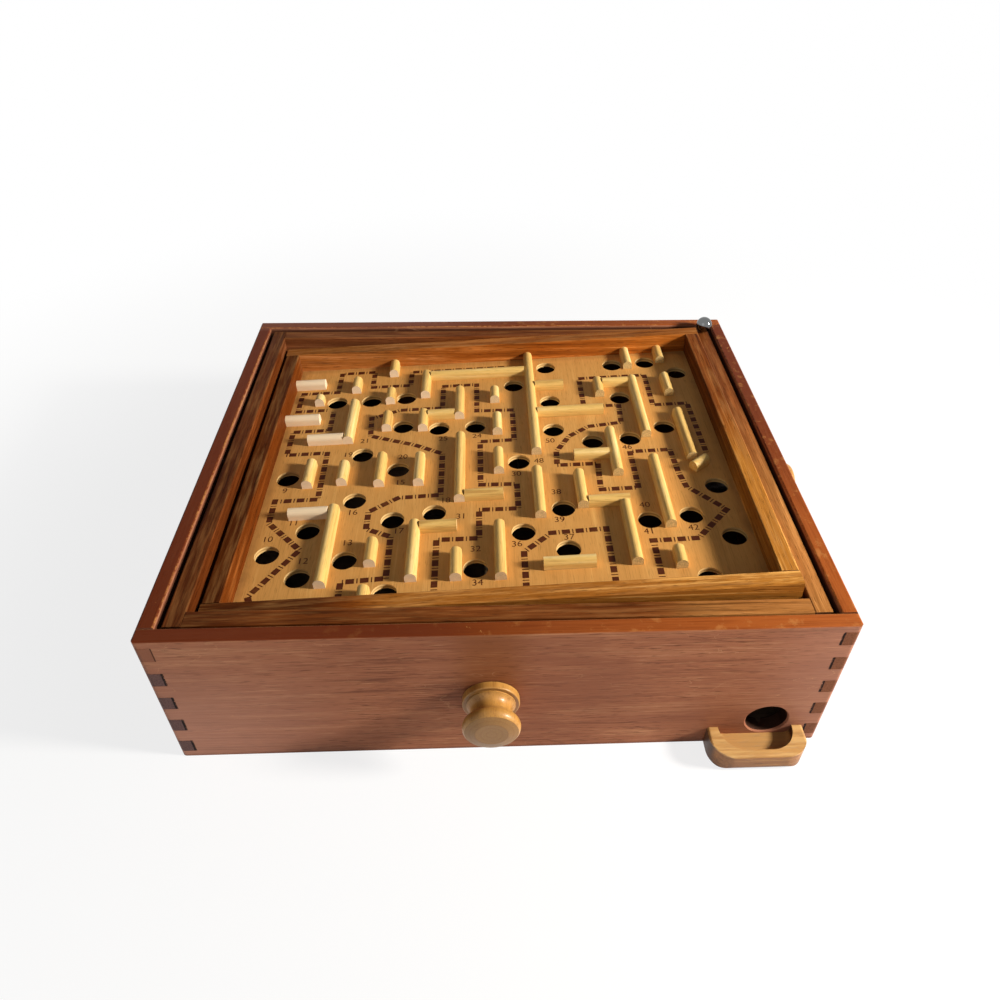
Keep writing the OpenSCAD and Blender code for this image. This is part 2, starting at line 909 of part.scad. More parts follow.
module eye_bore() {
    translate([0, 0, -rail_h / 2 - eps])
        cylinder(d = eye_wire + 2 * tight_fit, h = eye_grip);
}

module inner_eye_bore(side) {
    translate([side * inner_eye_x, inner_cord_y + side * cord_drift, 0])
        eye_bore();
}

module outer_eye_bore(side) {
    translate([outer_cord_x + side * cord_drift, side * outer_eye_y, pivot_z])
        eye_bore();
}

module inner_screw_eyes() {
    color("#c2b280")
        inner_frame()
            for (s = [-1, 1])
                translate([s * inner_eye_x, inner_cord_y + s * cord_drift, 0])
                    screw_eye();
}

module outer_screw_eyes() {
    color("#c2b280")
        for (s = [-1, 1])
            translate([outer_cord_x + s * cord_drift, s * outer_eye_y, pivot_z])
                rotate([0, 0, 90])
                    screw_eye();
}

// Centres of the screw eyes
function inner_eye(s) = tipped([s * inner_eye_x, inner_cord_y + s * cord_drift, eye_z]);
function outer_eye(s) = [outer_cord_x + s * cord_drift, s * outer_eye_y, pivot_z + eye_z];

// Where the straight run to the second eye leaves its shaft, to aim the spring by
inner_foot = [front_shaft_x, inner_cord_y + cord_drift,
    front_shaft_z - shaft_d / 2 - cord_gap - cord_d / 2];
outer_foot = [outer_cord_x + cord_drift, side_shaft_y,
    side_shaft_z - shaft_d / 2 - cord_gap - cord_d / 2];

inner_spring_far = toward(inner_eye(1), inner_foot, eye_stop);
inner_spring_near = toward(inner_eye(1), inner_foot, eye_stop + spring_l);
inner_cord_near = toward(inner_eye(1), inner_foot, eye_stop + spring_l + hook_gap);
inner_cord_far = toward(inner_eye(-1), inner_foot - [0, 2 * cord_drift, 0], eye_stop);

outer_spring_far = toward(outer_eye(1), outer_foot, eye_stop);
outer_spring_near = toward(outer_eye(1), outer_foot, eye_stop + spring_l);
outer_cord_near = toward(outer_eye(1), outer_foot, eye_stop + spring_l + hook_gap);
outer_cord_far = toward(outer_eye(-1), outer_foot - [2 * cord_drift, 0, 0], eye_stop);

inner_cord_path = [for (p = cord_route([inner_cord_far[0], inner_cord_far[2]],
    [inner_cord_near[0], inner_cord_near[2]], [front_shaft_x, front_shaft_z]))
    [p[0], inner_cord_y + p[2], p[1]]];
outer_cord_path = [for (p = cord_route([outer_cord_far[1], outer_cord_far[2]],
    [outer_cord_near[1], outer_cord_near[2]], [side_shaft_y, side_shaft_z]))
    [outer_cord_x + p[2], p[0], p[1]]];
inner_spring_path = spring_path(inner_spring_near, inner_spring_far, [0, 1, 0]);
outer_spring_path = spring_path(outer_spring_near, outer_spring_far, [1, 0, 0]);

echo(inner_cord_self_gap = self_gap(inner_cord_path, cord_d, 12));
echo(outer_cord_self_gap = self_gap(outer_cord_path, cord_d, 12));
echo(spring_self_gap = self_gap(inner_spring_path, spring_wire, 5));

module inner_tilt_cord() {
    color("#3a3026")
        tube(inner_cord_path, cord_d, [0, 1, 0]);
}

module outer_tilt_cord() {
    color("#3a3026")
        tube(outer_cord_path, cord_d, [1, 0, 0]);
}

module inner_cord_spring() {
    color("#c0c4c8")
        tube(inner_spring_path, spring_wire, [0.3, 1, 0.2]);
}

module outer_cord_spring() {
    color("#c0c4c8")
        tube(outer_spring_path, spring_wire, [1, 0.3, 0.2]);
}

module steel_ball() {
    r = ball_d / 2;
    color("#c8ccd0")
        translate([
            cavity_w / 2 - r - ball_clear_side,
            cavity_d / 2 - r - ball_clear_back,
            frame_top + r + ball_lift
        ])
            sphere(r);
}

front_wall();
back_wall();
left_wall();
right_wall();
base_board();
floor_panel();
exit_guide();
catch_tray();
outer_left_rail();
outer_right_rail();
outer_front_rail();
outer_back_rail();
outer_pivot_pins();
outer_screw_eyes();
inner_left_rail();
inner_right_rail();
inner_front_rail();
inner_back_rail();
inner_pivot_pins();
inner_screw_eyes();
playing_board();
maze_bars_along();
maze_bars_across();
front_shaft();
front_knob();
side_shaft();
side_knob();
outer_tilt_cord();
outer_cord_spring();
inner_tilt_cord();
inner_cord_spring();
steel_ball();
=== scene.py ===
import math

import bmesh
import bpy
from bpy.types import Operator, Panel, PropertyGroup
from mathutils import Matrix, Vector


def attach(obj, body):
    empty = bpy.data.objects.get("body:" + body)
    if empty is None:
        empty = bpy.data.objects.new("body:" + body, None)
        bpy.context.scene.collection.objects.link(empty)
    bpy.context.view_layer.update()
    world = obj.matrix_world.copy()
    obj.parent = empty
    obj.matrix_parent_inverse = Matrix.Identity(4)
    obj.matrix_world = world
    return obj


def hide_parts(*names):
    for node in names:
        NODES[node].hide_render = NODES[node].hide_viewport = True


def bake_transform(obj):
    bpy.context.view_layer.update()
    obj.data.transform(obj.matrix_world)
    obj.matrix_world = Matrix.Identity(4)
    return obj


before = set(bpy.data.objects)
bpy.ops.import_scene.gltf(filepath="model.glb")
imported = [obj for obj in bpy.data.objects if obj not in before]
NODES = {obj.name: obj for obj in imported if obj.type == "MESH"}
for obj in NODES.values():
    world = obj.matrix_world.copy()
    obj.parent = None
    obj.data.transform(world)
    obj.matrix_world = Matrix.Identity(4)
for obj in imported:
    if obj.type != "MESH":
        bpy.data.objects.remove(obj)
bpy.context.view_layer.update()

bl_info = {
    "name": "Tilting Labyrinth",
    "version": (1, 0, 0),
    "blender": (4, 5, 0),
    "location": "View3D > Sidebar > Labyrinth",
    "description": "Gives a wooden tilting labyrinth its woods, steel, print and cords",
    "category": "Object",
}

MM = 0.001

# The inner frame as it stands, tipped about its pivot axis, right side up
PIVOT_HEIGHT = 0.080
REST_TILT = math.radians(3)
INNER = Matrix.Translation((0, 0, PIVOT_HEIGHT)) @ Matrix.Rotation(-REST_TILT, 4, "Y")
# Heights of the board's face and of the rails' top from that axis
BOARD_FACE = -0.0035
RAIL_TOP = 0.010

# The shafts as seen along themselves: place to the right or to the back, and height
FRONT_SHAFT = (-0.006, 0.0435)
SIDE_SHAFT = (0.004, 0.0505)

# The box in millimetres: half its width and depth outside and inside, and its height
BOX_RIGHT, BOX_BACK = 165.0, 143.0
CAVITY_RIGHT, CAVITY_BACK = 157.0, 135.0
BOX_TOP = 92.0

# Height in millimetres of a finger and its gap at the corners, and the colour of the dirt in the
# joints, which also serves as painted shade in the bore of the ball exit
JOINT_PITCH = 18.4
JOINT_DIRT_AND_EXIT_SHADE = (0.010, 0.006, 0.005)

# The ball exit in the front wall in millimetres: place to the right and up, and radius
BALL_EXIT = (135.5, 18.5, 10.75)

# What the rails' colours are multiplied by where their lightness, partly painted light and shade, is
# low and high, and under their painted sheen; and the lightness at which a rail counts as dark and as
# light
DARK_STRETCH_TINT = (1.12, 0.76, 0.60)
LIGHT_STRETCH_TINT = (1.0, 1.20, 1.35)
RAIL_SHEEN_TINT = (1.20, 1.55, 2.60)
STRETCH_TINT_RANGE = (0.3, 2.2)
# Places in millimetres where the painted sheen on the back rails ends to the right and to the front
RAIL_SHEEN_RIGHT = (-90.0, -10.0)
RAIL_SHEEN_FRONT = (104.0, 110.0)

# Sides of a round tube, and how many of its radii make one unit of its map
TUBE_SIDES = 10
MAP_UNIT = 6

# The printed route in millimetres from the middle of the board, to the right and back
ROUTE = [
    (5, 104), (-57, 104), (-57, 87.5), (-83, 87.5), (-83, 106.5), (-106, 106.5),
    (-106, 83.5), (-130, 83.5), (-130, 63), (-106, 63), (-106, 40.5), (-129, 40.5),
    (-129, 17), (-104, 17), (-103.5, -26), (-128, -26), (-128, -44), (-107, -66.5),
    (-128, -98), (-125, -105), (-82, -105), (-82, -91.5), (-59, -90.5), (-59, -60),
    (-73, -53), (-73, -39), (-57, -28.5), (-33, -28), (-33, 10), (-50, 20), (-79, 32),
    (-80, 51), (-62, 58.5), (-34.5, 58.5), (-34.5, 84), (-12, 84), (-12, 53), (11, 52),
    (11, 20), (-10, 20), (-10, -21), (11, -22), (11, -43), (-11, -42.5), (-11, -65),
    (-34, -64.5), (-34, -105), (12.5, -105), (12.5, -77), (28, -64), (57.5, -63),
    (57.5, -105), (81, -105), (81, -74), (105, -74), (125, -53), (107, -32.5),
    (105, -20), (104, 2), (80, 2), (80, -31), (58.5, -31), (59.5, -7.5), (35.5, -7),
    (36, 6), (45, 20.5), (58, 29.5), (79, 32), (80, 51), (57.5, 51), (57.5, 84.5),
    (102, 84.5), (102, 49), (124, 49), (125, -5),
]

# Plain numbers beside the holes, with their places in the same way
NUMBERS = [
    (9, -124, -17), (10, -126, -57), (11, -114, -45), (12, -104, -75), (13, -82, -63),
    (16, -82, -39), (17, -55, -56), (18, -30, -33), (15, -57, -15), (20, -57, 9),
    (21, -82, 27), (19, -91, 14), (25, -33, 25), (24, -12, 26), (31, -21, -47),
    (32, -13, -73), (34, -12, -97), (36, 9, -71), (38, 33, -31), (39, 33, -54),
    (37, 37, -68), (41, 80, -67), (40, 81, -46), (42, 104, -66), (50, 33, 17),
    (48, 25, -2), (46, 79, 6.5), (30, 11, -13),
]


def setting(kind, **fixed):
    """A function that makes settings of one kind."""
    def make(name, description, default):
        return kind(name=name, description=description, default=default, **fixed)
    return make


colour = setting(bpy.props.FloatVectorProperty, subtype="COLOR", size=3, min=0.0, max=1.0)
share = setting(bpy.props.FloatProperty, subtype="FACTOR", min=0.0, max=1.0)
length = setting(bpy.props.FloatProperty, subtype="DISTANCE", unit="LENGTH", min=0.0, precision=5)
power = setting(bpy.props.FloatProperty, unit="POWER", min=0.0)
count = setting(bpy.props.IntProperty, min=1)


def wood_settings(what, dark, mid, light, end, roughness, gloss):
    """The settings that every wood has."""
    return {
        "dark": colour("Dark", f"Dark streaks in the {what}", dark),
        "mid": colour("Middle", f"Main colour of the {what}", mid),
        "light": colour("Light", f"Light streaks in the {what}", light),
        "end": colour("End grain", f"Sawn ends of the {what}", end),
        "roughness": share("Roughness", f"Dullness of the {what}", roughness),
        "gloss": share("Gloss", f"Strength of the reflections on the {what}", gloss),
    }


class LabyrinthWallWood(PropertyGroup):
    """Stained and varnished wood of the box"""
    __annotations__ = wood_settings(
        "walls", dark=(0.110, 0.036, 0.020), mid=(0.328, 0.121, 0.060),
        light=(0.575, 0.282, 0.136), end=(0.165, 0.088, 0.078), roughness=0.40, gloss=0.04,
    )
    end_right: colour("End grain right", "Ends of the fingers at the right", (0.240, 0.085, 0.038))
    # A darker patch above the front knob
    handled: colour("Handled", "Darker varnish above the front knob", (0.215, 0.066, 0.014))
    # Painted shade on the faces inside the box
    inside: colour("Inside", "Dull, dark inside of the box", (0.050, 0.016, 0.009))
    top: colour("Top", "Upper edges at the left", (0.118, 0.019, 0.0035))
    # Painted light on the upper edges at the right
    top_right: colour("Top right", "Upper edges at the right", (0.365, 0.088, 0.013))
    worn: colour("Worn", "Edges rubbed through the stain", (0.620, 0.290, 0.085))
    # Painted sheen toward the corners of the walls
    bloom: colour("Bloom", "Paler, hazy varnish toward the corners", (0.540, 0.270, 0.190))
    cloud: colour("Cloud", "Cooler clouds in the stain", (0.230, 0.082, 0.043))


class LabyrinthOuterRailWood(PropertyGroup):
    """Dark brown wood of the outer frame"""
    __annotations__ = wood_settings(
        "outer rails", dark=(0.038, 0.011, 0.002), mid=(0.141, 0.046, 0.010),
        light=(0.300, 0.115, 0.030), end=(0.060, 0.020, 0.008), roughness=0.50, gloss=0.04,
    )
    worn: colour("Worn", "Rubbed upper edges of the outer rails", (0.380, 0.165, 0.052))


class LabyrinthInnerRailWood(PropertyGroup):
    """Warm brown wood of the inner frame"""
    __annotations__ = wood_settings(
        "inner rails", dark=(0.060, 0.018, 0.003), mid=(0.205, 0.064, 0.008),
        light=(0.420, 0.180, 0.042), end=(0.100, 0.034, 0.012), roughness=0.50, gloss=0.04,
    )
    worn: colour("Worn", "Rubbed upper edges of the inner rails", (0.460, 0.220, 0.072))


class LabyrinthBoardWood(PropertyGroup):
    """Golden plywood of the playing board"""
    __annotations__ = wood_settings(
        "board", dark=(0.430, 0.195, 0.044), mid=(0.605, 0.290, 0.074),
        light=(0.730, 0.395, 0.116), end=(0.720, 0.470, 0.190), roughness=0.55, gloss=0.15,
    )
    core: colour("Core", "Middle ply where a hole cuts through it", (0.500, 0.290, 0.100))
    # A darker border on the board beside the rails
    dust: colour("Dust", "Darkened wood beside the rails", (0.260, 0.120, 0.036))


class LabyrinthBarWood(PropertyGroup):
    """Pale wood of the maze bars"""
    __annotations__ = wood_settings(
        "bars", dark=(0.480, 0.260, 0.065), mid=(0.720, 0.450, 0.130),
        light=(0.830, 0.610, 0.260), end=(0.740, 0.510, 0.210), roughness=0.50, gloss=0.20,
    )
    # Painted light: paler, pinkish bars at the left
    fresh: colour("Fresh", "Paler, pinkish bars at the left", (0.930, 0.750, 0.540))


class LabyrinthKnobWood(PropertyGroup):
    """Golden turned wood of the knobs"""
    __annotations__ = wood_settings(
        "knobs", dark=(0.220, 0.085, 0.016), mid=(0.430, 0.207, 0.046),
        light=(0.540, 0.295, 0.080), end=(0.330, 0.160, 0.042), roughness=0.36, gloss=0.28,
    )


class LabyrinthTrayWood(PropertyGroup):
    """Golden brown wood of the catch tray"""
    __annotations__ = wood_settings(
        "tray", dark=(0.150, 0.056, 0.014), mid=(0.290, 0.112, 0.023),
        light=(0.425, 0.190, 0.046), end=(0.110, 0.045, 0.016), roughness=0.45, gloss=0.30,
    )
    # Rubbed rim of the tray, partly a painted highlight; also the painted light on the floor of the
    # hollow
    worn: colour("Worn", "Rubbed rim of the tray", (0.600, 0.360, 0.130))


class LabyrinthFloorWood(PropertyGroup):
    """Plywood of the base and the sloping floor, stained nearly black"""
    __annotations__ = wood_settings(
        "floor", dark=(0.030, 0.018, 0.011), mid=(0.055, 0.034, 0.021),
        light=(0.085, 0.056, 0.036), end=(0.045, 0.028, 0.018), roughness=0.70, gloss=0.15,
    )


class LabyrinthPrint(PropertyGroup):
    """Route and numbers printed on the board"""
    ink: colour("Ink", "Colour of the print", (0.070, 0.014, 0.003))
    faded: colour("Faded ink", "Print where it is rubbed thin", (0.150, 0.046, 0.010))
    block_length: length("Block length", "Length of a block of the route", 0.0044)
    block_width: length("Block width", "Width of the route", 0.0034)
    tick_length: length("Tick length", "Length of the thin mark between blocks", 0.0006)
    spacing: length("Spacing", "Distance between blocks", 0.0074)
    digit_height: length("Digit height", "Height of the numbers", 0.0042)
    lift: length("Lift", "Height of the print above the board", 0.00004)


class LabyrinthMetal(PropertyGroup):
    """Steel of the shafts, pins and ball, and brass of the screw eyes"""
    steel: colour("Steel", "Shafts, pivot pins and springs", (0.56, 0.57, 0.58))
    brass: colour("Brass", "Screw eyes", (0.62, 0.46, 0.22))
    ball: colour("Ball", "Polished ball", (0.17, 0.175, 0.175))
    tarnish: colour("Tarnish", "Dull spots on the metal", (0.20, 0.17, 0.14))
    roughness: share("Roughness", "Dullness of the drawn steel", 0.30)
    ball_roughness: share("Ball roughness", "Dullness of the ball", 0.08)


class LabyrinthCords(PropertyGroup):
    """Cords that tip the frames, and the springs that keep them tight"""
    thread: colour("Thread", "Main colour of the cords", (0.060, 0.042, 0.028))
    shade: colour("Shade", "Grooves between the strands", (0.014, 0.010, 0.007))
    diameter: length("Cord", "Diameter of the cords", 0.0010)
    shaft: length("Shaft", "Diameter of the shafts", 0.0050)
    gap: length("Gap", "Space between cord and shaft", 0.0003)
    pitch: length("Pitch", "Spacing of the turns round a shaft", 0.0016)
    turns: count("Turns", "Turns of a cord round its shaft", 3)
    spring: length("Spring", "Outer diameter of the springs", 0.0050)
    wire: length("Wire", "Wire of the springs", 0.0007)
    spring_pitch: length("Spring pitch", "Spacing of the spring turns", 0.0013)
    spring_turns: count("Spring turns", "Turns of the springs", 10)


class LabyrinthStage(PropertyGroup):
    """Floor, light and camera"""
    floor: colour("Floor", "Pale floor", (0.92, 0.92, 0.92))
    key: power("Key light", "Soft lamp low on the right", 29.0)
    fill: power("Fill light", "Large soft lamp in front on the left", 2.0)
    sky: share("Sky", "Even light from all round", 0.12)
    lens: length("Lens", "Focal length of the camera", 0.02845)


GROUPS = {
    "walls": LabyrinthWallWood, "outer_rails": LabyrinthOuterRailWood,
    "inner_rails": LabyrinthInnerRailWood, "board": LabyrinthBoardWood,
    "bars": LabyrinthBarWood, "knobs": LabyrinthKnobWood, "tray": LabyrinthTrayWood,
    "floor": LabyrinthFloorWood, "print": LabyrinthPrint, "metal": LabyrinthMetal,
    "cords": LabyrinthCords, "stage": LabyrinthStage,
}


class LabyrinthSettings(PropertyGroup):
    """All the settings of the labyrinth"""
    __annotations__ = {
        name: bpy.props.PointerProperty(type=group) for name, group in GROUPS.items()
    }


def is_vector(value):
    """Whether a socket or a plain value has more than one part."""
    if isinstance(value, Wire):
        return value.socket.type != "VALUE"
    return hasattr(value, "__len__")


def overload(operation):
    """The method of an operator, and that of its reflected form."""
    return (
        lambda first, second: first.calculate(operation, first, second),
        lambda second, first: second.calculate(operation, first, second),
    )


class Wire:
    """A shader socket to calculate with; numbers, colours and vectors may stand beside it."""

    def __init__(self, tree, socket):
        self.tree = tree
        self.socket = socket

    def plug(self, socket, value):
        """Links a wire to a socket, or sets the socket to a plain value."""
        if isinstance(value, Wire):
            self.tree.links.new(value.socket, socket)
        elif socket.type == "RGBA" and len(value) == 3:
            socket.default_value = (*value, 1.0)
        else:
            socket.default_value = value

    def node(self, kind, settings=None, sockets=None, output=0):
        """Adds any node, first its settings, then the values or links of its sockets."""
        made = self.tree.nodes.new(kind)
        for name, value in (settings or {}).items():
            setattr(made, name, value)
        for name, value in (sockets or {}).items():
            self.plug(made.inputs[name], value)
        return Wire(self.tree, made.outputs[output])

    def calculate(self, operation, *terms):
        """Math for numbers, Vector Math as soon as one term is a vector or a colour."""
        if not any(is_vector(t) for t in terms):
            return self.node("ShaderNodeMath", {"operation": operation}, dict(enumerate(terms)))
        wide = [t if isinstance(t, Wire) or is_vector(t) else (t, t, t) for t in terms]
        return self.node("ShaderNodeVectorMath", {"operation": operation}, dict(enumerate(wide)))

    __add__, __radd__ = overload("ADD")
    __sub__, __rsub__ = overload("SUBTRACT")
    __mul__, __rmul__ = overload("MULTIPLY")
    __truediv__, __rtruediv__ = overload("DIVIDE")

    def __abs__(self):
        return self.calculate("ABSOLUTE", self)

    def sine(self):
        return self.calculate("SINE", self)

    def parts(self):
        """The three parts of a vector."""
        made = self.tree.nodes.new("ShaderNodeSeparateXYZ")
        self.plug(made.inputs[0], self)
        return [Wire(self.tree, output) for output in made.outputs]

    def size(self):
        """The length of a vector."""
        return self.node("ShaderNodeVectorMath", {"operation": "LENGTH"}, {0: self}, 1)

    def rise(self, low, high):
        """From 0 at the low value smoothly up to 1 at the high one."""
        return self.node(
            "ShaderNodeMapRange",
            {"interpolation_type": "SMOOTHSTEP"},
            {"Value": self, "From Min": low, "From Max": high},
        )

    def fall(self, low, high):
        """From 1 at the low value smoothly down to 0 at the high one."""
        return 1.0 - self.rise(low, high)

    def mix(self, first, second):
        """The first colour where this value is 0, the second where it is 1."""
        return self.node(
            "ShaderNodeMix", {"data_type": "RGBA"}, {0: self, 6: first, 7: second}, 2
        )

    def noise(self, detail=2.0, roughness=0.5, distortion=0.0):
        """Smooth noise over this vector, one cell to each unit."""
        return self.node(
            "ShaderNodeTexNoise", {},
            {"Vector": self, "Scale": 1.0, "Detail": detail,
             "Roughness": roughness, "Distortion": distortion},
        )


class Finish:
    """A new material with its place on the object in millimetres and the way it faces."""

    def __init__(self, name):
        self.material = bpy.data.materials.new(name)
        self.material.use_nodes = True
        self.tree = self.material.node_tree
        self.shader = self.tree.nodes["Principled BSDF"]
        texture = self.tree.nodes.new("ShaderNodeTexCoord")
        self.place = Wire(self.tree, texture.outputs["Object"]) / MM
        self.facing = Wire(self.tree, texture.outputs["Normal"])
        self.around = Wire(self.tree, texture.outputs["UV"])

    def set(self, **sockets):
        """Sets or links the shader's own sockets; underscores stand for spaces."""
        for name, value in sockets.items():
            socket = self.shader.inputs[name.replace("_", " ")]
            self.place.plug(socket, value)

    def relief(self, height, depth, strength=0.5):
        """Raises the surface by a height from 0 to 1, over a depth in metres."""
        self.set(Normal=height.node(
            "ShaderNodeBump", {},
            {"Strength": strength, "Distance": depth, "Height": height},
        ))

    def dress(self, *names):
        """Gives the material to CAD nodes."""
        for name in names:
            slots = NODES[name].data.materials
            slots.clear()
            slots.append(self.material)


def drawn(along, long, wide):
    """Scale of a pattern that is drawn out along one axis."""
    return tuple(long if axis == along else wide for axis in "XYZ")


def in_frame(place):
    """A place in the inner frame's own directions: right, back and up from its pivot."""
    x, y, z = place.parts()
    rise = z - PIVOT_HEIGHT / MM
    right = x * math.cos(REST_TILT) + rise * math.sin(REST_TILT)
    up = rise * math.cos(REST_TILT) - x * math.sin(REST_TILT)
    return right, y, up


class Wood(Finish):
    """Wood with its grain along one axis: broad figure, bands, fibres, flecks and end grain."""

    def __init__(self, name, look, along, band=0.22, figure=1.0, fibre=1.0, pores=0.5, flecks=0.0):
        super().__init__(name)
        self.look = look
        self.along = along
        self.broad = self.grain(0.006, 0.035).noise(2.0, 0.5, 0.7)
        bands = (self.grain(0.009, band) + self.broad * 2.2).noise(3.0, 0.55, 0.3)
        self.fibre = self.grain(0.03, 1.5).noise(5.0, 0.68)
        pits = self.grain(0.14, 2.8).noise(1.0, 0.4).rise(0.60, 0.72)
        tone = (
            0.5 + (self.broad - 0.5) * (0.9 * figure) + (bands - 0.5) * (1.3 * figure)
            + (self.fibre - 0.5) * (0.8 * fibre)
        )
        low = tone.rise(0.16, 0.50).mix(look.dark, look.mid)
        wood = tone.rise(0.50, 0.84).mix(low, look.light)
        wood = (pits * pores).mix(wood, tuple(c * 0.55 for c in look.dark))
        if flecks:
            strokes = self.grain(0.05, 1.3).noise(3.0, 0.6).rise(0.55, 0.70)
            wood = (strokes * flecks).mix(wood, look.light)
        toward_end = abs(self.facing.parts()["XYZ".index(along)])
        self.speckle = (self.place * 1.3).noise(4.0, 0.6).rise(0.30, 0.70)
        self.end = toward_end.rise(0.80, 0.95)
        self.colour = self.end.mix(wood, self.sawn(look.end))
        self.roughness = look.roughness + pits * 0.14 + (0.5 - self.fibre) * 0.22
        self.height = self.fibre * 0.5 + bands * 0.3 - pits * (0.8 * pores)
        self.set(Specular_IOR_Level=look.gloss)

    def grain(self, long, wide):
        """The place, scaled for a pattern that is drawn out along the grain."""
        return self.place * drawn(self.along, long, wide)

    def sawn(self, colour):
        """End grain of a colour, speckled darker."""
        return self.speckle.mix(tuple(c * 0.6 for c in colour), colour)

    def layer(self, mask, colour):
        """Lays a colour over the wood where the mask is 1."""
        self.colour = mask.mix(self.colour, colour)

    def close(self, depth=0.00025, coat=0.0):
        """Feeds the finished look to the shader."""
        self.set(Base_Color=self.colour, Roughness=self.roughness)
        self.relief(self.height, depth)
        if coat:
            self.set(Coat_Weight=coat, Coat_Roughness=0.18)
        return self


def in_view(tree):
    """1 for what the camera sees straight, in a reflection or through glass."""
    rays = tree.nodes.new("ShaderNodeLightPath")
    straight, mirrored, through = (
        Wire(tree, rays.outputs[f"Is {kind} Ray"]) for kind in ("Camera", "Glossy", "Transmission")
    )
    return straight.calculate(
        "MAXIMUM", straight, mirrored.calculate("MAXIMUM", mirrored, through)
    )


def settings(context):
    """All the settings of the labyrinth."""
    return context.scene.labyrinth


def finished(made, name):
    """A new mesh from an edited one, which is freed."""
    mesh = bpy.data.meshes.new(name)
    made.to_mesh(mesh)
    made.free()
    return mesh


def add_object(name, data):
    """A new object in the scene."""
    made = bpy.data.objects.new(name, data)
    bpy.context.scene.collection.objects.link(made)
    return made


def add_piece(name, mesh, material):
    """A new object for a mesh, with its material."""
    mesh.materials.append(material)
    piece = add_object(name, mesh)
    return piece


class WallWood(Wood):
    """Wood of a box wall: fine flecks, clouded stain, redder upper edges with painted light and
    shade, painted sheen, painted shade inside and in the ball exit, and dark joints.
    """

    # Places in millimetres over which a layer fades in or out
    TOP_FINGER = (70.0, 74.0)
    FRONT = (-CAVITY_BACK + 5.0, -CAVITY_BACK + 15.0)
    BACK = (CAVITY_BACK - 5.0, CAVITY_BACK - 1.0)
    # Where the painted sheen toward the corners fades
    BLOOM_LEFT, BLOOM_RIGHT, BLOOM_UP = (-BOX_RIGHT, -50.0), (110.0, BOX_RIGHT), (20.0, 95.0)
    HANDLED_ASIDE, HANDLED_UP = (6.0, 26.0), (42.0, 58.0)
    # Where the painted shade toward the back of the upper edges and the painted sheen on the back
    # wall's top fade
    RED_SIDES, RED_LONG, HAZY_TOP = (-130.0, 60.0), (0.0, 140.0), (-60.0, 20.0)
    FOOT = (0.2, 2.4)

    def __init__(self, name, look, along):
        super().__init__(name, look, along, band=0.16, figure=0.45, fibre=0.9, pores=0.7, flecks=0.5)
        self.x, self.y, self.z = self.place.parts()
        across, inside = (self.y, CAVITY_BACK) if along == "X" else (self.x, CAVITY_RIGHT)
        self.outward = abs(across) - inside
        self.rightward = self.x.rise(-BOX_RIGHT, BOX_RIGHT)
        self.front = self.y.fall(*self.FRONT)
        self.topmost = (1.0 - self.rightward) * self.z.rise(*self.TOP_FINGER)
        upward = self.facing.parts()[2].rise(0.3, 0.8)
        self.upper = upward * self.z.rise(BOX_TOP - 3.0, BOX_TOP - 1.0)
        self.chips = (self.place * 0.55).noise(4.0, 0.62)
        self.stain()
        self.saw_ends()
        self.redden_top()
        self.darken_inside()
        self.rub_edges()
        self.soil_joints()
        self.soil_exit()
        self.scratch()
        self.close(depth=0.00015, coat=0.01)

    def stain(self):
        """Clouds, a painted sheen toward the corners and a darker patch above the knob on the long
        walls, and painted shade on the outer face of the right wall.
        """
        look = self.look
        clouds = (self.place * (0.009, 0.009, 0.02)).noise(2.0, 0.5, 0.4).rise(0.46, 0.70)
        self.layer(clouds * (1.0 - self.end) * 0.6, look.cloud)
        if self.along == "X":
            # Painted sheen toward the left and right ends of the long walls
            left = self.x.fall(*self.BLOOM_LEFT) * (1.0 - self.z.rise(*self.BLOOM_UP) * 0.75)
            corners = left + self.x.rise(*self.BLOOM_RIGHT) * 0.5
            self.layer(corners * (0.35 + self.fibre * 0.5), look.bloom)
            # A darker patch above the front knob
            by_knob = abs(self.x - FRONT_SHAFT[0] / MM).fall(*self.HANDLED_ASIDE)
            handled = by_knob * self.z.rise(*self.HANDLED_UP) * self.front
            self.layer(handled * (0.25 + self.fibre * 0.4), look.handled)
        else:
            # Painted shade on the outer face of the right wall
            shaded_right_face = self.x.rise(BOX_RIGHT - 0.6, BOX_RIGHT - 0.2)
            self.layer(shaded_right_face * 0.45, look.dark)

    def saw_ends(self):
        """End grain of the fingers, warmer at the right and varnished over at the top left."""
        self.layer(self.end, self.sawn(self.look.end))
        self.layer(self.end * self.rightward, self.sawn(self.look.end_right))
        self.layer(self.end * self.topmost * 0.75, self.look.mid)

    def redden_top(self):
        """Red stain on the upper edges, mottled toward the right, with painted light that makes them
        lighter toward the right, painted shade toward the back, and a painted sheen on the back
        wall's top at the left.
        """
        look = self.look
        # Painted shade: the upper edges grow darker toward the back
        if self.along == "Y":
            redness_and_light = 1.1 - self.y.rise(*self.RED_SIDES) * 0.75
        else:
            redness_and_light = 1.3 - self.y.rise(*self.RED_LONG) * 0.40
        uneven = (self.broad - 0.5) * 0.7 + (self.fibre - 0.5) * 0.4
        # Painted light: the upper edges grow lighter toward the right, on top of the red stain
        stain = self.rightward * redness_and_light - 0.35 + uneven
        self.layer(self.upper * 0.92, stain.rise(0.0, 1.0).mix(look.top, look.top_right))
        streaks = self.grain(0.025, 0.7).noise(4.0, 0.65).rise(0.46, 0.66)
        self.layer(self.upper * streaks * 0.35, look.top)
        mottle = (self.place * 0.11).noise(4.0, 0.68).rise(0.54, 0.68)
        self.layer(self.upper * mottle * self.rightward * 0.30, look.worn)
        # Painted sheen on the back wall's top at the left
        hazy = self.x.fall(*self.HAZY_TOP) * self.y.rise(*self.BACK)
        self.layer(self.upper * hazy * 0.13, look.bloom)

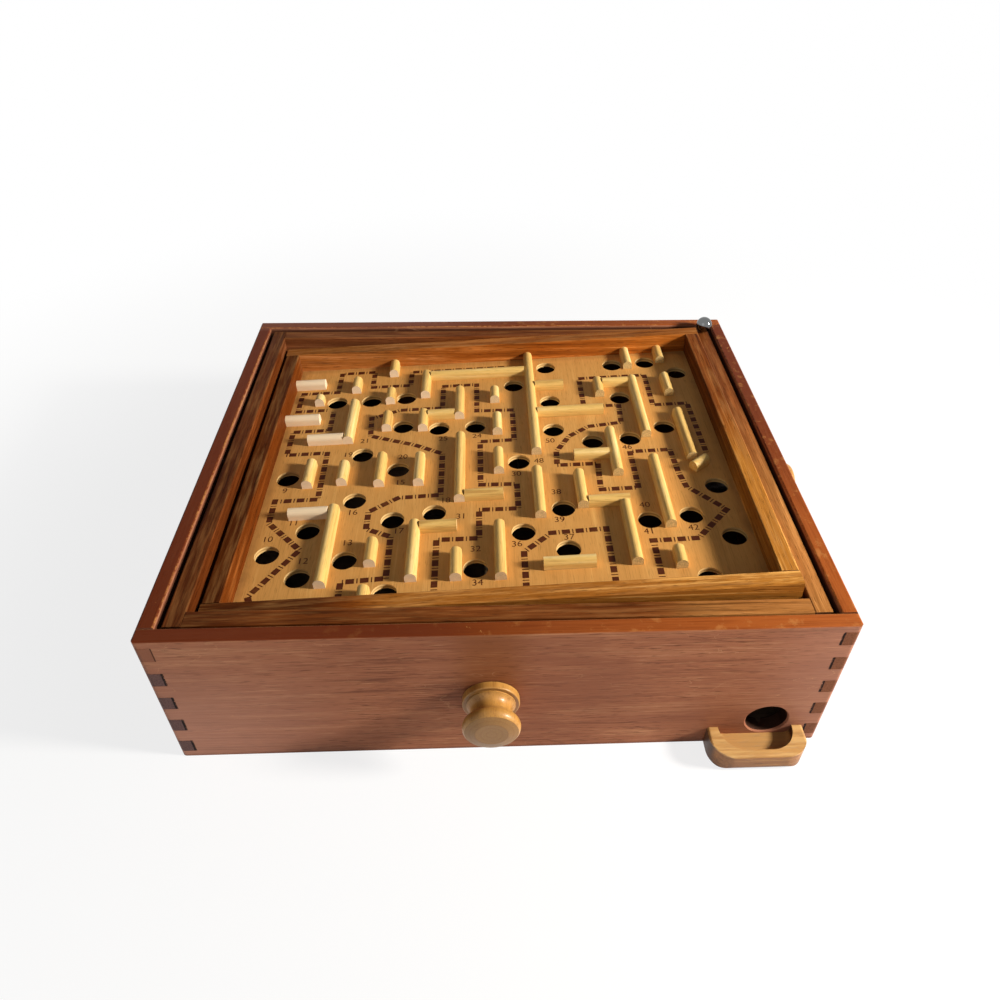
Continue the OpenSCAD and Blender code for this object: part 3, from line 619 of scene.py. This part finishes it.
    def darken_inside(self):
        """Painted shade on the faces toward the space inside, below the upper edges."""
        below = self.z.fall(BOX_TOP - 2.4, BOX_TOP - 1.2)
        shaded_cavity = self.outward.fall(0.2, 0.6) * below
        self.layer(shaded_cavity * 0.85, self.look.inside)

    def rub_edges(self):
        """Stain rubbed off the inner arris, and nicks along the top."""
        rubs = self.grain(0.02, 0.3).noise(3.0, 0.6)
        inner_arris = self.outward.fall(0.1, 1.1)
        worn = (rubs + self.chips).rise(0.90, 1.20)
        self.layer(self.upper * inner_arris * worn * 0.7, self.look.worn)
        nicks = (self.place * 0.16).noise(5.0, 0.75).rise(0.66, 0.72)
        near_top = self.z.rise(BOX_TOP - 2.5, BOX_TOP - 0.5)
        self.layer(near_top * nicks * 0.8, self.look.worn)

    def soil_joints(self):
        """Dirt in the seams beside the fingers, on the front and the back of the box."""
        fingers = ((self.z / JOINT_PITCH - 0.25) * (2 * math.pi)).sine().rise(-0.05, 0.05)
        seam = abs(abs(self.x) - CAVITY_RIGHT).fall(0.4, 0.9)
        outer_face = abs(self.y).rise(BOX_BACK - 1.0, BOX_BACK - 0.5)
        dirt = seam * fingers * outer_face * (1.0 - self.topmost) * self.chips.rise(0.30, 0.50)
        self.layer(dirt * 0.95, JOINT_DIRT_AND_EXIT_SHADE)

    def soil_exit(self):
        """Painted shade in the bore of the ball exit."""
        exit_x, exit_z, radius = BALL_EXIT
        off_axis = ((self.place - (exit_x, 0.0, exit_z)) * drawn("Y", 0.0, 1.0)).size()
        bore = off_axis.fall(radius + 0.2, radius + 0.5) * self.front
        sideways = abs(self.facing.parts()[1]).fall(0.3, 0.7)
        self.layer(bore * sideways * 0.9, JOINT_DIRT_AND_EXIT_SHADE)

    def scratch(self):
        """Hair scratches in patches, and a dark line at the foot."""
        sweep = (self.place * (0.035, 0.035, 0.09) + self.chips * 0.1).noise(1.0, 0.4, 0.8)
        hairs = (abs(sweep - 0.5) * 150.0).fall(0.3, 1.0)
        patches = (self.place * 0.03).noise(2.0).rise(0.52, 0.66)
        scratches = hairs * patches * (1.0 - self.end) * (1.0 - self.upper)
        self.layer(scratches * 0.35, self.look.light)
        self.layer(self.z.fall(*self.FOOT) * 0.5, self.look.dark)
        self.height = self.height - scratches * 0.3


def rail_finish(name, look, along, inward, tone, tipped):
    """Frame rail: fine dark growth lines, light and dark stretches that are partly painted light and
    shade, painted light or shade on the face toward the board, a painted sheen at the back left, and
    rubbed upper edges.
    """
    wood = Wood(name, look, along, band=0.28, figure=0.75, fibre=0.9, pores=0.6, flecks=0.25)
    lines = (wood.grain(0.006, 0.8) + wood.broad * 1.5).noise(3.0, 0.6, 0.4)
    wood.layer(lines.rise(0.58, 0.72) * (1.0 - wood.end) * 0.6, look.dark)

    place = wood.place.parts()
    axis = "XYZ".index(along)
    # Painted light and shade: the lightness along the rail, and on its face toward the board
    light, stretches, face_light_gain = tone
    for start, stop, gain in stretches:
        light = light + place[axis].rise(start, stop) * gain
    face = (wood.facing.parts()[1 - axis] * inward).rise(0.5, 0.9)
    wood.colour = wood.colour * ((face * (face_light_gain - 1.0) + 1.0) * light)
    wood.colour = wood.colour * light.rise(*STRETCH_TINT_RANGE).mix(DARK_STRETCH_TINT, LIGHT_STRETCH_TINT)
    # Painted sheen on the rails at the back left
    hazy = place[0].fall(*RAIL_SHEEN_RIGHT) * place[1].rise(*RAIL_SHEEN_FRONT)
    wood.colour = wood.colour * hazy.mix((1.0, 1.0, 1.0), RAIL_SHEEN_TINT)

    rubs = wood.grain(0.03, 0.4).noise(4.0, 0.6)
    up = in_frame(wood.place)[2] if tipped else place[2] - PIVOT_HEIGHT / MM
    edge = up.rise(RAIL_TOP / MM - 1.1, RAIL_TOP / MM - 0.1)
    wood.layer(edge * rubs.rise(0.42, 0.70) * 0.35, look.worn)
    return wood.close(depth=0.0002)


class LABYRINTH_OT_set_stage(Operator):
    """Sets up the floor, the soft lamps, the pale surroundings and the camera"""
    bl_idname = "labyrinth.set_stage"
    bl_label = "Set the Stage"

    FLOOR_SIZE = 8.0
    # Distances from the middle, in millimetres, over which the floor fades to plain white
    FLOOR_FADE = (230.0, 620.0)
    # Share of plain white in the floor beside the box
    FLOOR_WHITE = 0.8
    # Each lamp's diameter, place and tint
    KEY_LAMP = (0.20, (1.075, -0.290, 0.600), (1.0, 0.96, 0.90))
    FILL_LAMP = (1.2, (-0.70, -1.10, 0.90), (0.96, 0.98, 1.0))
    CAMERA_PLACE = (-0.00742, -0.36880, 0.37317)
    CAMERA_TURN = (49.955, -0.742, -2.261)
    CAMERA_SHIFT = (-0.0151, -0.0218)

    def execute(self, context):
        look = settings(context).stage
        self.make_floor(look)
        self.make_lamp("key_light", look.key, *self.KEY_LAMP)
        self.make_lamp("fill_light", look.fill, *self.FILL_LAMP)
        self.make_surroundings(context, look)
        self.make_camera(context, look)
        return {"FINISHED"}

    def make_floor(self, look):
        mesh = bpy.data.meshes.new("floor")
        half = self.FLOOR_SIZE / 2
        corners = [(-half, -half, 0), (half, -half, 0), (half, half, 0), (-half, half, 0)]
        mesh.from_pydata(corners, [], [(0, 1, 2, 3)])
        finish = Finish("pale_floor")
        finish.set(Base_Color=look.floor, Roughness=0.9, Specular_IOR_Level=0.1)
        away = finish.place.size().rise(*self.FLOOR_FADE)
        whiteness = self.FLOOR_WHITE + away * (1.0 - self.FLOOR_WHITE)
        white = away.node("ShaderNodeEmission", {}, {"Strength": 1.0})
        plain = Wire(finish.tree, finish.shader.outputs[0])
        faded = plain.node(
            "ShaderNodeMixShader", {}, {0: whiteness * in_view(finish.tree), 1: plain, 2: white}
        )
        surface = finish.tree.nodes["Material Output"].inputs["Surface"]
        finish.tree.links.new(faded.socket, surface)
        mesh.materials.append(finish.material)
        floor = add_object("floor", mesh)

    def make_lamp(self, name, energy, size, place, tint):
        lamp = bpy.data.lights.new(name, "AREA")
        lamp.shape = "DISK"
        lamp.size = size
        lamp.energy = energy
        lamp.color = tint
        holder = add_object(name, lamp)
        holder.location = place
        aim = Vector((0, 0, BOX_TOP * MM / 2)) - Vector(place)
        holder.rotation_euler = aim.to_track_quat("-Z", "Y").to_euler()

    def make_surroundings(self, context, look):
        world = bpy.data.worlds.new("surroundings")
        world.use_nodes = True
        context.scene.world = world
        seen = in_view(world.node_tree)
        back = world.node_tree.nodes["Background"]
        seen.plug(back.inputs["Color"], (1.0, 1.0, 1.0))
        seen.plug(back.inputs["Strength"], look.sky + seen * (1.0 - look.sky))

    def make_camera(self, context, look):
        camera = bpy.data.cameras.new("camera")
        camera.lens = look.lens / MM
        camera.shift_x, camera.shift_y = self.CAMERA_SHIFT
        holder = add_object("camera", camera)
        holder.location = self.CAMERA_PLACE
        holder.rotation_euler = [math.radians(a) for a in self.CAMERA_TURN]
        context.scene.camera = holder
        context.scene.view_settings.view_transform = "Standard"


class LABYRINTH_OT_string_cords(Operator):
    """Winds each cord round its shaft and ties it to its frame, with a spring at one end"""
    bl_idname = "labyrinth.string_cords"
    bl_label = "String the Cords"

    # Middle of each winding along its shaft
    INNER_CORD = -0.010
    OUTER_CORD = 0.012
    # The screw eyes: distance to each side, and height, for the inner frame from its pivot axis
    INNER_EYE = (0.1406, -0.013)
    OUTER_EYE = (0.1298, 0.067)
    # How far from an eye its cord or spring ends, and the gap between cord and spring
    EYE_STOP = 0.0032
    HOOK_GAP = 0.0002
    # Points in one turn of a cord and of a spring
    STEPS = 48
    SPRING_STEPS = 24
    STRANDS = 3.0

    def execute(self, context):
        look = settings(context).cords
        self.look = look
        self.drift = look.pitch * look.turns / 2
        self.radius = (look.shaft + look.diameter) / 2 + look.gap
        self.spring_length = look.spring_pitch * look.spring_turns + 4 * look.wire
        self.thread = self.thread_finish()
        self.steel = steel_finish("spring_steel", settings(context).metal)

        side, up = self.INNER_EYE
        eyes = [
            INNER @ Vector((s * side, self.INNER_CORD + s * self.drift, up)) for s in (-1, 1)
        ]
        foot = Vector((FRONT_SHAFT[0], self.INNER_CORD, FRONT_SHAFT[1] - self.radius))
        self.string(
            "inner_tilt_cord", "inner_cord_spring", ("box", "outer_frame", "inner_frame"),
            eyes, foot, Vector((0, 1, 0)), FRONT_SHAFT,
        )
        side, up = self.OUTER_EYE
        eyes = [Vector((self.OUTER_CORD + s * self.drift, s * side, up)) for s in (-1, 1)]
        foot = Vector((self.OUTER_CORD, SIDE_SHAFT[0], SIDE_SHAFT[1] - self.radius))
        self.string(
            "outer_tilt_cord", "outer_cord_spring", ("box", "outer_frame"),
            eyes, foot, Vector((1, 0, 0)), SIDE_SHAFT,
        )
        return {"FINISHED"}

    def string(self, cord, spring, bodies, eyes, foot, shaft_way, shaft):
        """One cord in two halves, from its shaft to its two eyes, and its spring."""
        near, far = eyes
        aside = shaft_way * self.drift
        first = toward(near, foot - aside, self.EYE_STOP)
        spring_far, spring_near, last = (
            toward(far, foot + aside, self.EYE_STOP + more)
            for more in (0, self.spring_length, self.spring_length + self.HOOK_GAP)
        )
        path = self.route(first, last, foot, shaft_way, shaft)
        middle = len(path) // 2
        halves = (("near", path[: middle + 1][::-1]), ("far", path[middle:]))
        for side, points in halves:
            self.lay(cord, f"{cord}_{side}", bodies, foot, points)
        points = self.spring_points(spring_near, spring_far, shaft_way)
        mesh = tube_mesh(spring, points, self.look.wire / 2)
        piece = add_piece(f"{spring}_coil", mesh, self.steel)
        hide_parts(spring)
        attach(piece, bodies[-1])

    def lay(self, cord, name, bodies, foot, points):
        """Half a cord, in one length for each joint between its shaft and its eye."""
        joints = list(zip(bodies, bodies[1:]))
        off_shaft, eye = points[-2:]
        start, run = foot, points[:-1]
        for i, (part, pair) in enumerate(zip(("wound", "rising"), joints), 1):
            end = off_shaft.lerp(eye, i / len(joints))
            mesh = tube_mesh(f"{name}_{part}", run + [end], self.look.diameter / 2)
            piece = add_piece(f"{name}_{part}", mesh, self.thread)
            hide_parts(cord)
            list(pair)
            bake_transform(piece)
            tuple(start)
            start, run = end, [end]

    def route(self, first, last, foot, shaft_way, shaft):
        """Straight to the shaft, round it, and straight on; drifts along the shaft."""
        axis = 0 if shaft_way.y else 1
        start, stop = (Vector((p[axis], p.z)) - Vector(shaft) for p in (first, last))
        begin = math.atan2(start.y, start.x) + math.acos(self.radius / start.length)
        begin -= 2 * math.pi
        end = math.atan2(stop.y, stop.x) - math.acos(self.radius / stop.length)
        end += 2 * math.pi * self.look.turns
        steps = self.STEPS * self.look.turns
        path = [first]
        for i in range(steps + 1):
            turn = begin + (end - begin) * i / steps
            side = shaft[0] + self.radius * math.cos(turn)
            up = shaft[1] + self.radius * math.sin(turn)
            point = Vector((side, side, up))
            point[1 - axis] = foot[1 - axis] + self.drift * (2 * i / steps - 1)
            path.append(point)
        return path + [last]

    def spring_points(self, near, far, shaft_way):
        """A helix whose ends are drawn in to its axis."""
        look = self.look
        axis = (far - near).normalized()
        side = (shaft_way - axis * shaft_way.dot(axis)).normalized()
        other = axis.cross(side)
        points = [near]
        for i in range(self.SPRING_STEPS * look.spring_turns + 1):
            turns = i / self.SPRING_STEPS
            grow = ease(turns) * ease(look.spring_turns - turns)
            radius = (look.spring - look.wire) / 2 * grow
            angle = 2 * math.pi * turns
            points.append(
                near + axis * (2 * look.wire + look.spring_pitch * turns)
                + (side * math.cos(angle) + other * math.sin(angle)) * radius
            )
        return points + [far]

    def thread_finish(self):
        """Twisted cord: strands run slantwise round it."""
        finish = Finish("twisted_cord")
        around, along, _ = finish.around.parts()
        strands = ((around * self.STRANDS + along) * (2 * math.pi)).sine() * 0.5 + 0.5
        fuzz = (finish.place * 6.0).noise(3.0, 0.7)
        tone = strands * 0.7 + fuzz * 0.5
        finish.set(
            Base_Color=tone.rise(0.2, 0.9).mix(self.look.shade, self.look.thread),
            Roughness=0.75 + fuzz * 0.2,
        )
        finish.relief(strands, depth=0.00015)
        return finish.material


def toward(start, goal, distance):
    """The point at a distance from the start on the way to the goal."""
    return start + (goal - start).normalized() * distance


def ease(t):
    """Smooth step from 0 to 1."""
    t = max(0.0, min(1.0, t))
    return t * t * (3 - 2 * t)


def tube_mesh(name, points, radius):
    """Closed round tube along a line of points, with a map: once round, and along."""
    made = bmesh.new()
    layer = made.loops.layers.uv.new("UVMap")
    rings, marks = [], []
    gone = 0.0
    side = None
    for i, point in enumerate(points):
        way = (points[min(i + 1, len(points) - 1)] - points[max(i - 1, 0)]).normalized()
        if side is None:
            side = way.orthogonal()
        side = (side - way * side.dot(way)).normalized()
        other = way.cross(side)
        if i:
            gone += (point - points[i - 1]).length
        marks.append(gone / (MAP_UNIT * radius))
        ring = []
        for k in range(TUBE_SIDES):
            angle = 2 * math.pi * k / TUBE_SIDES
            ring.append(made.verts.new(
                point + (side * math.cos(angle) + other * math.sin(angle)) * radius
            ))
        rings.append(ring)
    for i, (ring, following) in enumerate(zip(rings, rings[1:])):
        for k in range(TUBE_SIDES):
            after = (k + 1) % TUBE_SIDES
            face = made.faces.new((ring[k], ring[after], following[after], following[k]))
            face.smooth = True
            places = ((k, i), (k + 1, i), (k + 1, i + 1), (k, i + 1))
            for loop, (step, mark) in zip(face.loops, places):
                loop[layer].uv = (step / TUBE_SIDES, marks[mark])
    made.faces.new(rings[0][::-1])
    made.faces.new(rings[-1])
    return finished(made, name)


class LABYRINTH_OT_dress_box(Operator):
    """Gives the walls, the base, the sloping floor and the exit guide their woods"""
    bl_idname = "labyrinth.dress_box"
    bl_label = "Dress the Box"

    def execute(self, context):
        look = settings(context)
        WallWood("long_wall_wood", look.walls, "X").dress("front_wall", "back_wall")
        WallWood("side_wall_wood", look.walls, "Y").dress("left_wall", "right_wall")
        plain = Wood("floor_plywood", look.floor, "X", band=0.10, figure=0.8)
        rolled = (plain.place * (0.02, 0.02, 0.2)).noise(3.0, 0.6).rise(0.5, 0.75)
        plain.layer(rolled * 0.4, look.floor.dark)
        plain.close().dress("base_board", "floor_panel", "exit_guide")
        return {"FINISHED"}


class LABYRINTH_OT_dress_tray(Operator):
    """Gives the catch tray its banded wood, its rubbed rim with a painted highlight, painted light on
    the floor of the hollow and painted shade on the lower sides
    """
    bl_idname = "labyrinth.dress_tray"
    bl_label = "Dress the Tray"

    # Heights in millimetres: of the rim, and over which the painted light in the hollow, the dark
    # foot and the painted shade on the lower sides end
    RIM_HEIGHT = 12.8
    HOLLOW = (8.0, 11.0)
    FOOT = (0.3, 2.5)
    LOWER_SIDES = (2.0, 11.0)

    def execute(self, context):
        look = settings(context).tray
        wood = Wood("tray_wood", look, "X", band=0.40, figure=0.9, fibre=1.0, pores=0.5, flecks=0.2)
        z = wood.place.parts()[2]
        rubs = wood.grain(0.05, 0.45).noise(3.0, 0.6)
        rim = z.rise(self.RIM_HEIGHT - 1.6, self.RIM_HEIGHT - 0.2)
        # Rubbed rim, partly a painted highlight
        wood.layer(rim * (0.40 + rubs.rise(0.35, 0.65) * 0.45), look.worn)
        # Painted light on the floor of the hollow
        lit_hollow = wood.facing.parts()[2].rise(0.4, 0.9) * z.fall(*self.HOLLOW)
        wood.layer(lit_hollow * 0.45, look.worn)
        wood.layer(z.fall(*self.FOOT) * 0.5, look.dark)
        # Painted shade on the lower sides
        wood.layer(z.fall(*self.LOWER_SIDES) * (1.0 - lit_hollow) * 0.35, look.dark)
        wood.close(depth=0.0003, coat=0.08).dress("catch_tray")
        return {"FINISHED"}


class LABYRINTH_OT_dress_frames(Operator):
    """Gives the rails of both frames their streaked woods"""
    bl_idname = "labyrinth.dress_frames"
    bl_label = "Dress the Frames"

    # A stretch of a rail that grows no lighter or darker
    EVEN = (-100.0, 100.0, 0.0)
    # Each rail with its grain, the way to the board across it, and its lightness, which is partly
    # painted light and shade: at its start, then over stretches from and to a place with a gain, and
    # on the face toward the board
    RAILS = (
        ("outer_front_rail", "X", 1, (0.45, ((-140.0, -100.0, 0.45), (60.0, 110.0, 1.7)), 1.0)),
        ("outer_back_rail", "X", -1, (0.62, ((20.0, 120.0, 0.95),), 1.4)),
        ("outer_left_rail", "Y", 1, (0.45, (EVEN,), 1.4)),
        ("outer_right_rail", "Y", -1, (2.7, ((-120.0, 50.0, -1.7),), 0.8)),
        ("inner_front_rail", "X", 1, (0.28, ((-95.0, -45.0, 1.35), (60.0, 120.0, 0.45)), 1.0)),
        ("inner_back_rail", "X", -1, (1.0, ((20.0, 120.0, 0.20),), 1.55)),
        ("inner_left_rail", "Y", 1, (0.33, (EVEN,), 1.7)),
        ("inner_right_rail", "Y", -1, (2.2, ((-50.0, 40.0, -1.45),), 0.7)),
    )

    def execute(self, context):
        look = settings(context)
        for name, along, inward, tone in self.RAILS:
            tipped = name.startswith("inner")
            wood = look.inner_rails if tipped else look.outer_rails
            rail_finish(f"{name}_wood", wood, along, inward, tone, tipped).dress(name)
        return {"FINISHED"}


class LABYRINTH_OT_dress_maze(Operator):
    """Gives the playing board its plywood and the bars their pale wood"""
    bl_idname = "labyrinth.dress_maze"
    bl_label = "Dress the Maze"

    # Millimetres: half the width and depth of the board between the rails, the darker border beside
    # them, the board's thickness and the blur between its plies
    PLAY_HALF = (134.6, 112.6)
    DUST_WIDTH = 7.0
    BOARD_THICKNESS = 3.0
    PLY_BLUR = 0.1
    # Places in millimetres where the painted light on the bars across, and on the ends of those
    # along, fades out
    FRESH_BARS = (-100.0, -40.0)
    FRESH_ENDS = (-60.0, 60.0)

    def execute(self, context):
        look = settings(context)
        self.dress_board(look.board)
        for name, along in (("maze_bars_along", "Y"), ("maze_bars_across", "X")):
            wood = Wood(f"{name}_wood", look.bars, along, band=0.35, figure=0.8, pores=0.35)
            up = in_frame(wood.place)[2] - BOARD_FACE / MM
            # Painted shade at the foot of the bars, where they meet the board
            wood.layer(up.fall(0.1, 1.3) * 0.55, look.bars.dark)
            right = wood.place.parts()[0]
            # Painted light: paler, pinkish bars across and bar ends at the left
            if along == "X":
                wood.layer(right.fall(*self.FRESH_BARS) * 0.75, look.bars.fresh)
            else:
                wood.layer(wood.end * right.fall(*self.FRESH_ENDS) * 0.8, look.bars.fresh)
            wood.close(depth=0.0002, coat=0.05).dress(name)
        return {"FINISHED"}

    def dress_board(self, look):
        wood = Wood("board_plywood", look, "Y", band=0.16, figure=0.5, fibre=0.9, pores=0.35)
        right, back, up = in_frame(wood.place)
        depth = BOARD_FACE / MM - up
        cut = abs(wood.facing.parts()[2]).fall(0.3, 0.8)
        third = self.BOARD_THICKNESS / 3
        first, second = (
            depth.rise(ply - self.PLY_BLUR, ply + self.PLY_BLUR) for ply in (third, 2 * third)
        )
        core = first * (1.0 - second)
        wood.layer(cut, core.mix(look.end, look.core))
        side, end = self.PLAY_HALF
        # A darker border on the board beside the rails
        beside_sides = abs(right).rise(side - self.DUST_WIDTH, side)
        beside = beside_sides + abs(back).rise(end - self.DUST_WIDTH, end)
        smudge = (wood.place * 0.05).noise(3.0, 0.6).rise(0.45, 0.75)
        wood.layer(beside.rise(0.0, 1.0) * (0.35 + smudge * 0.4), look.dust)
        wood.layer(smudge * 0.16, look.dark)
        wood.close(depth=0.00015).dress("playing_board")


def board_is_bare(depsgraph, right, back):
    """Whether the board's face shows at a place, with no bar over it and no hole there."""
    start = INNER @ Vector((right, back, 2 * RAIL_TOP))
    way = INNER.to_3x3() @ Vector((0, 0, -1))
    hit, place, _, _, thing, _ = bpy.context.scene.ray_cast(depsgraph, start, way)
    if not hit or thing.name != "playing_board":
        return False
    return abs((INNER.inverted() @ place).z - BOARD_FACE) < 0.5 * MM


def ink_finish(look):
    """Printed ink, rubbed thin in places so that the wood's fibres show."""
    finish = Finish("print_ink")
    fibres = (finish.place * (0.06, 1.8, 1.8)).noise(4.0, 0.7)
    worn = (finish.place * 0.09).noise(2.0)
    thin = (fibres * 0.7 + worn * 0.6).rise(0.62, 0.95)
    finish.set(
        Base_Color=thin.mix(look.ink, look.faded),
        Roughness=0.5 + fibres * 0.3,
        Specular_IOR_Level=0.1,
    )
    return finish.material


class LABYRINTH_OT_print_route(Operator):
    """Prints the route of the ball on the board, in blocks and thin marks"""
    bl_idname = "labyrinth.print_route"
    bl_label = "Print the Route"

    def execute(self, context):
        look = settings(context).print
        self.depsgraph = context.evaluated_depsgraph_get()
        self.height = BOARD_FACE + look.lift
        made = bmesh.new()
        points = [Vector(p) * MM for p in ROUTE]
        for number, (place, way) in enumerate(self.walk(points, look.spacing / 2)):
            long = look.tick_length if number % 2 else look.block_length
            self.add_block(made, place, way, long, look.block_width)
        if not made.faces:
            raise RuntimeError("no part of the route lies on the bare board")
        mesh = finished(made, "printed_route")
        piece = add_piece("printed_route", mesh, ink_finish(look))
        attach(piece, "inner_frame")
        return {"FINISHED"}

    def walk(self, points, step):
        """Places at even steps along a line of points, each with its direction."""
        over = 0.0
        for a, b in zip(points, points[1:]):
            way = (b - a).normalized()
            run = (b - a).length
            gone = over
            while gone < run:
                yield a + way * gone, way
                gone += step
            over = gone - run

    def add_block(self, made, place, way, long, wide):
        """One block, left out where a bar or a hole is in its place."""
        across = Vector((-way.y, way.x))
        corners = [
            place + way * (a * long / 2) + across * (b * wide / 2)
            for a, b in ((-1, -1), (1, -1), (1, 1), (-1, 1))
        ]
        if all(board_is_bare(self.depsgraph, c.x, c.y) for c in (*corners, place)):
            made.faces.new([
                made.verts.new(INNER @ Vector((c.x, c.y, self.height))) for c in corners
            ])


class LABYRINTH_OT_number_holes(Operator):
    """Prints plain numbers beside the holes"""
    bl_idname = "labyrinth.number_holes"
    bl_label = "Number the Holes"

    # Height of a digit as a share of the font's size
    DIGIT_SHARE = 0.70

    def execute(self, context):
        look = settings(context).print
        made = bmesh.new()
        for number, right, back in NUMBERS:
            mesh = self.digits(context, str(number), look.digit_height)
            first = len(made.verts)
            made.from_mesh(mesh)
            bpy.data.meshes.remove(mesh)
            made.verts.ensure_lookup_table()
            place = Vector((right * MM, back * MM, BOARD_FACE + look.lift))
            for vertex in made.verts[first:]:
                vertex.co = INNER @ (vertex.co + place)
        mesh = finished(made, "hole_numbers")
        ink = bpy.data.materials["print_ink"]
        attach(add_piece("hole_numbers", mesh, ink), "inner_frame")
        return {"FINISHED"}

    def digits(self, context, text, height):
        """Flat mesh of a number about its middle."""
        font = bpy.data.curves.new("digits", "FONT")
        font.body = text
        font.align_x = "CENTER"
        font.align_y = "CENTER"
        font.size = height / self.DIGIT_SHARE
        holder = add_object("digits", font)
        depsgraph = context.evaluated_depsgraph_get()
        mesh = bpy.data.meshes.new_from_object(holder.evaluated_get(depsgraph))
        bpy.data.objects.remove(holder)
        bpy.data.curves.remove(font)
        return mesh


class LABYRINTH_OT_dress_knobs(Operator):
    """Gives the turned knobs their flecked golden wood"""
    bl_idname = "labyrinth.dress_knobs"
    bl_label = "Dress the Knobs"

    # Each knob with the axis that it turns about and a place on it in millimetres
    KNOBS = (
        ("front_knob", "Y", (FRONT_SHAFT[0] / MM, 0.0, FRONT_SHAFT[1] / MM)),
        ("side_knob", "X", (0.0, SIDE_SHAFT[0] / MM, SIDE_SHAFT[1] / MM)),
    )
    # Radians to a millimetre, of the growth rings and of the marks of turning
    RING_RATE = 2.4
    TURNING_RATE = 5.0

    def execute(self, context):
        look = settings(context).knobs
        for name, along, middle in self.KNOBS:
            wood = Wood(f"{name}_wood", look, along, band=0.28, figure=0.6, pores=0.15)
            flecks = wood.grain(0.30, 1.1).noise(1.0, 0.4).rise(0.62, 0.72)
            wood.layer(flecks * (1.0 - wood.end) * 0.3, look.dark)
            wood.layer(wood.end * 0.6, look.end)
            radius = ((wood.place - middle) * drawn(along, 0.0, 1.0)).size()
            rings = (radius * self.RING_RATE + wood.broad * 3.0).sine()
            wood.layer(wood.end * rings.rise(0.0, 1.0) * 0.25, look.dark)
            turning = (wood.place.parts()["XYZ".index(along)] * self.TURNING_RATE).sine()
            wood.height = wood.height + turning * 0.12
            wood.close(depth=0.0001, coat=0.10).dress(name)
        return {"FINISHED"}


def metal_finish(name, look, colour, roughness, scale, spots):
    """Metal with a faint cloudy polish and dull spots."""
    finish = Finish(name)
    polish = (finish.place * scale).noise(4.0, 0.6)
    dull = (finish.place * 0.8).noise(3.0, 0.6).rise(0.56, 0.78) * spots
    finish.set(
        Base_Color=dull.mix(colour, look.tarnish),
        Roughness=roughness + (polish - 0.5) * 0.25 + dull * 0.3,
        Metallic=1.0,
    )
    finish.relief(polish, depth=0.00004, strength=0.3)
    return finish


def steel_finish(name, look):
    """Drawn steel wire or rod."""
    return metal_finish(name, look, look.steel, look.roughness, 1.2, 0.5).material


class LABYRINTH_OT_dress_metal(Operator):
    """Gives the shafts, pins, screw eyes and ball their metals"""
    bl_idname = "labyrinth.dress_metal"
    bl_label = "Dress the Metal"

    def execute(self, context):
        look = settings(context).metal
        rods = (("X", ("side_shaft", "outer_pivot_pins")), ("Y", ("front_shaft", "inner_pivot_pins")))
        for along, names in rods:
            metal_finish(
                f"drawn_steel_along_{along.lower()}", look, look.steel, look.roughness,
                drawn(along, 0.1, 2.5), 0.5,
            ).dress(*names)
        metal_finish(
            "screw_eye_brass", look, look.brass, look.roughness, 2.0, 0.7
        ).dress("outer_screw_eyes", "inner_screw_eyes")
        metal_finish(
            "ball_steel", look, look.ball, look.ball_roughness, 0.5, 0.35
        ).dress("steel_ball")
        return {"FINISHED"}


class LABYRINTH_PT_sidebar(Panel):
    """Settings and steps of the labyrinth"""
    bl_idname = "LABYRINTH_PT_sidebar"
    bl_label = "Labyrinth"
    bl_space_type = "VIEW_3D"
    bl_region_type = "UI"
    bl_category = "Labyrinth"

    def draw(self, context):
        look = settings(context)
        for operator in OPERATORS:
            self.layout.operator(operator.bl_idname)
        for name, group in GROUPS.items():
            box = self.layout.box()
            box.label(text=name.replace("_", " ").capitalize())
            for setting_name in group.__annotations__:
                box.prop(getattr(look, name), setting_name)


OPERATORS = (
    LABYRINTH_OT_set_stage, LABYRINTH_OT_string_cords, LABYRINTH_OT_dress_box,
    LABYRINTH_OT_dress_tray, LABYRINTH_OT_dress_frames, LABYRINTH_OT_dress_maze,
    LABYRINTH_OT_print_route, LABYRINTH_OT_number_holes, LABYRINTH_OT_dress_knobs,
    LABYRINTH_OT_dress_metal,
)
CLASSES = (*GROUPS.values(), LabyrinthSettings, *OPERATORS, LABYRINTH_PT_sidebar)


def register():
    for kind in CLASSES:
        bpy.utils.register_class(kind)
    bpy.types.Scene.labyrinth = bpy.props.PointerProperty(type=LabyrinthSettings)


def unregister():
    del bpy.types.Scene.labyrinth
    for kind in reversed(CLASSES):
        bpy.utils.unregister_class(kind)


def main():
    register()
    bpy.ops.labyrinth.set_stage()
    bpy.ops.labyrinth.string_cords()
    bpy.ops.labyrinth.dress_box()
    bpy.ops.labyrinth.dress_tray()
    bpy.ops.labyrinth.dress_frames()
    bpy.ops.labyrinth.dress_maze()
    bpy.ops.labyrinth.print_route()
    bpy.ops.labyrinth.number_holes()
    bpy.ops.labyrinth.dress_knobs()
    bpy.ops.labyrinth.dress_metal()


if __name__ == "__main__":
    main()
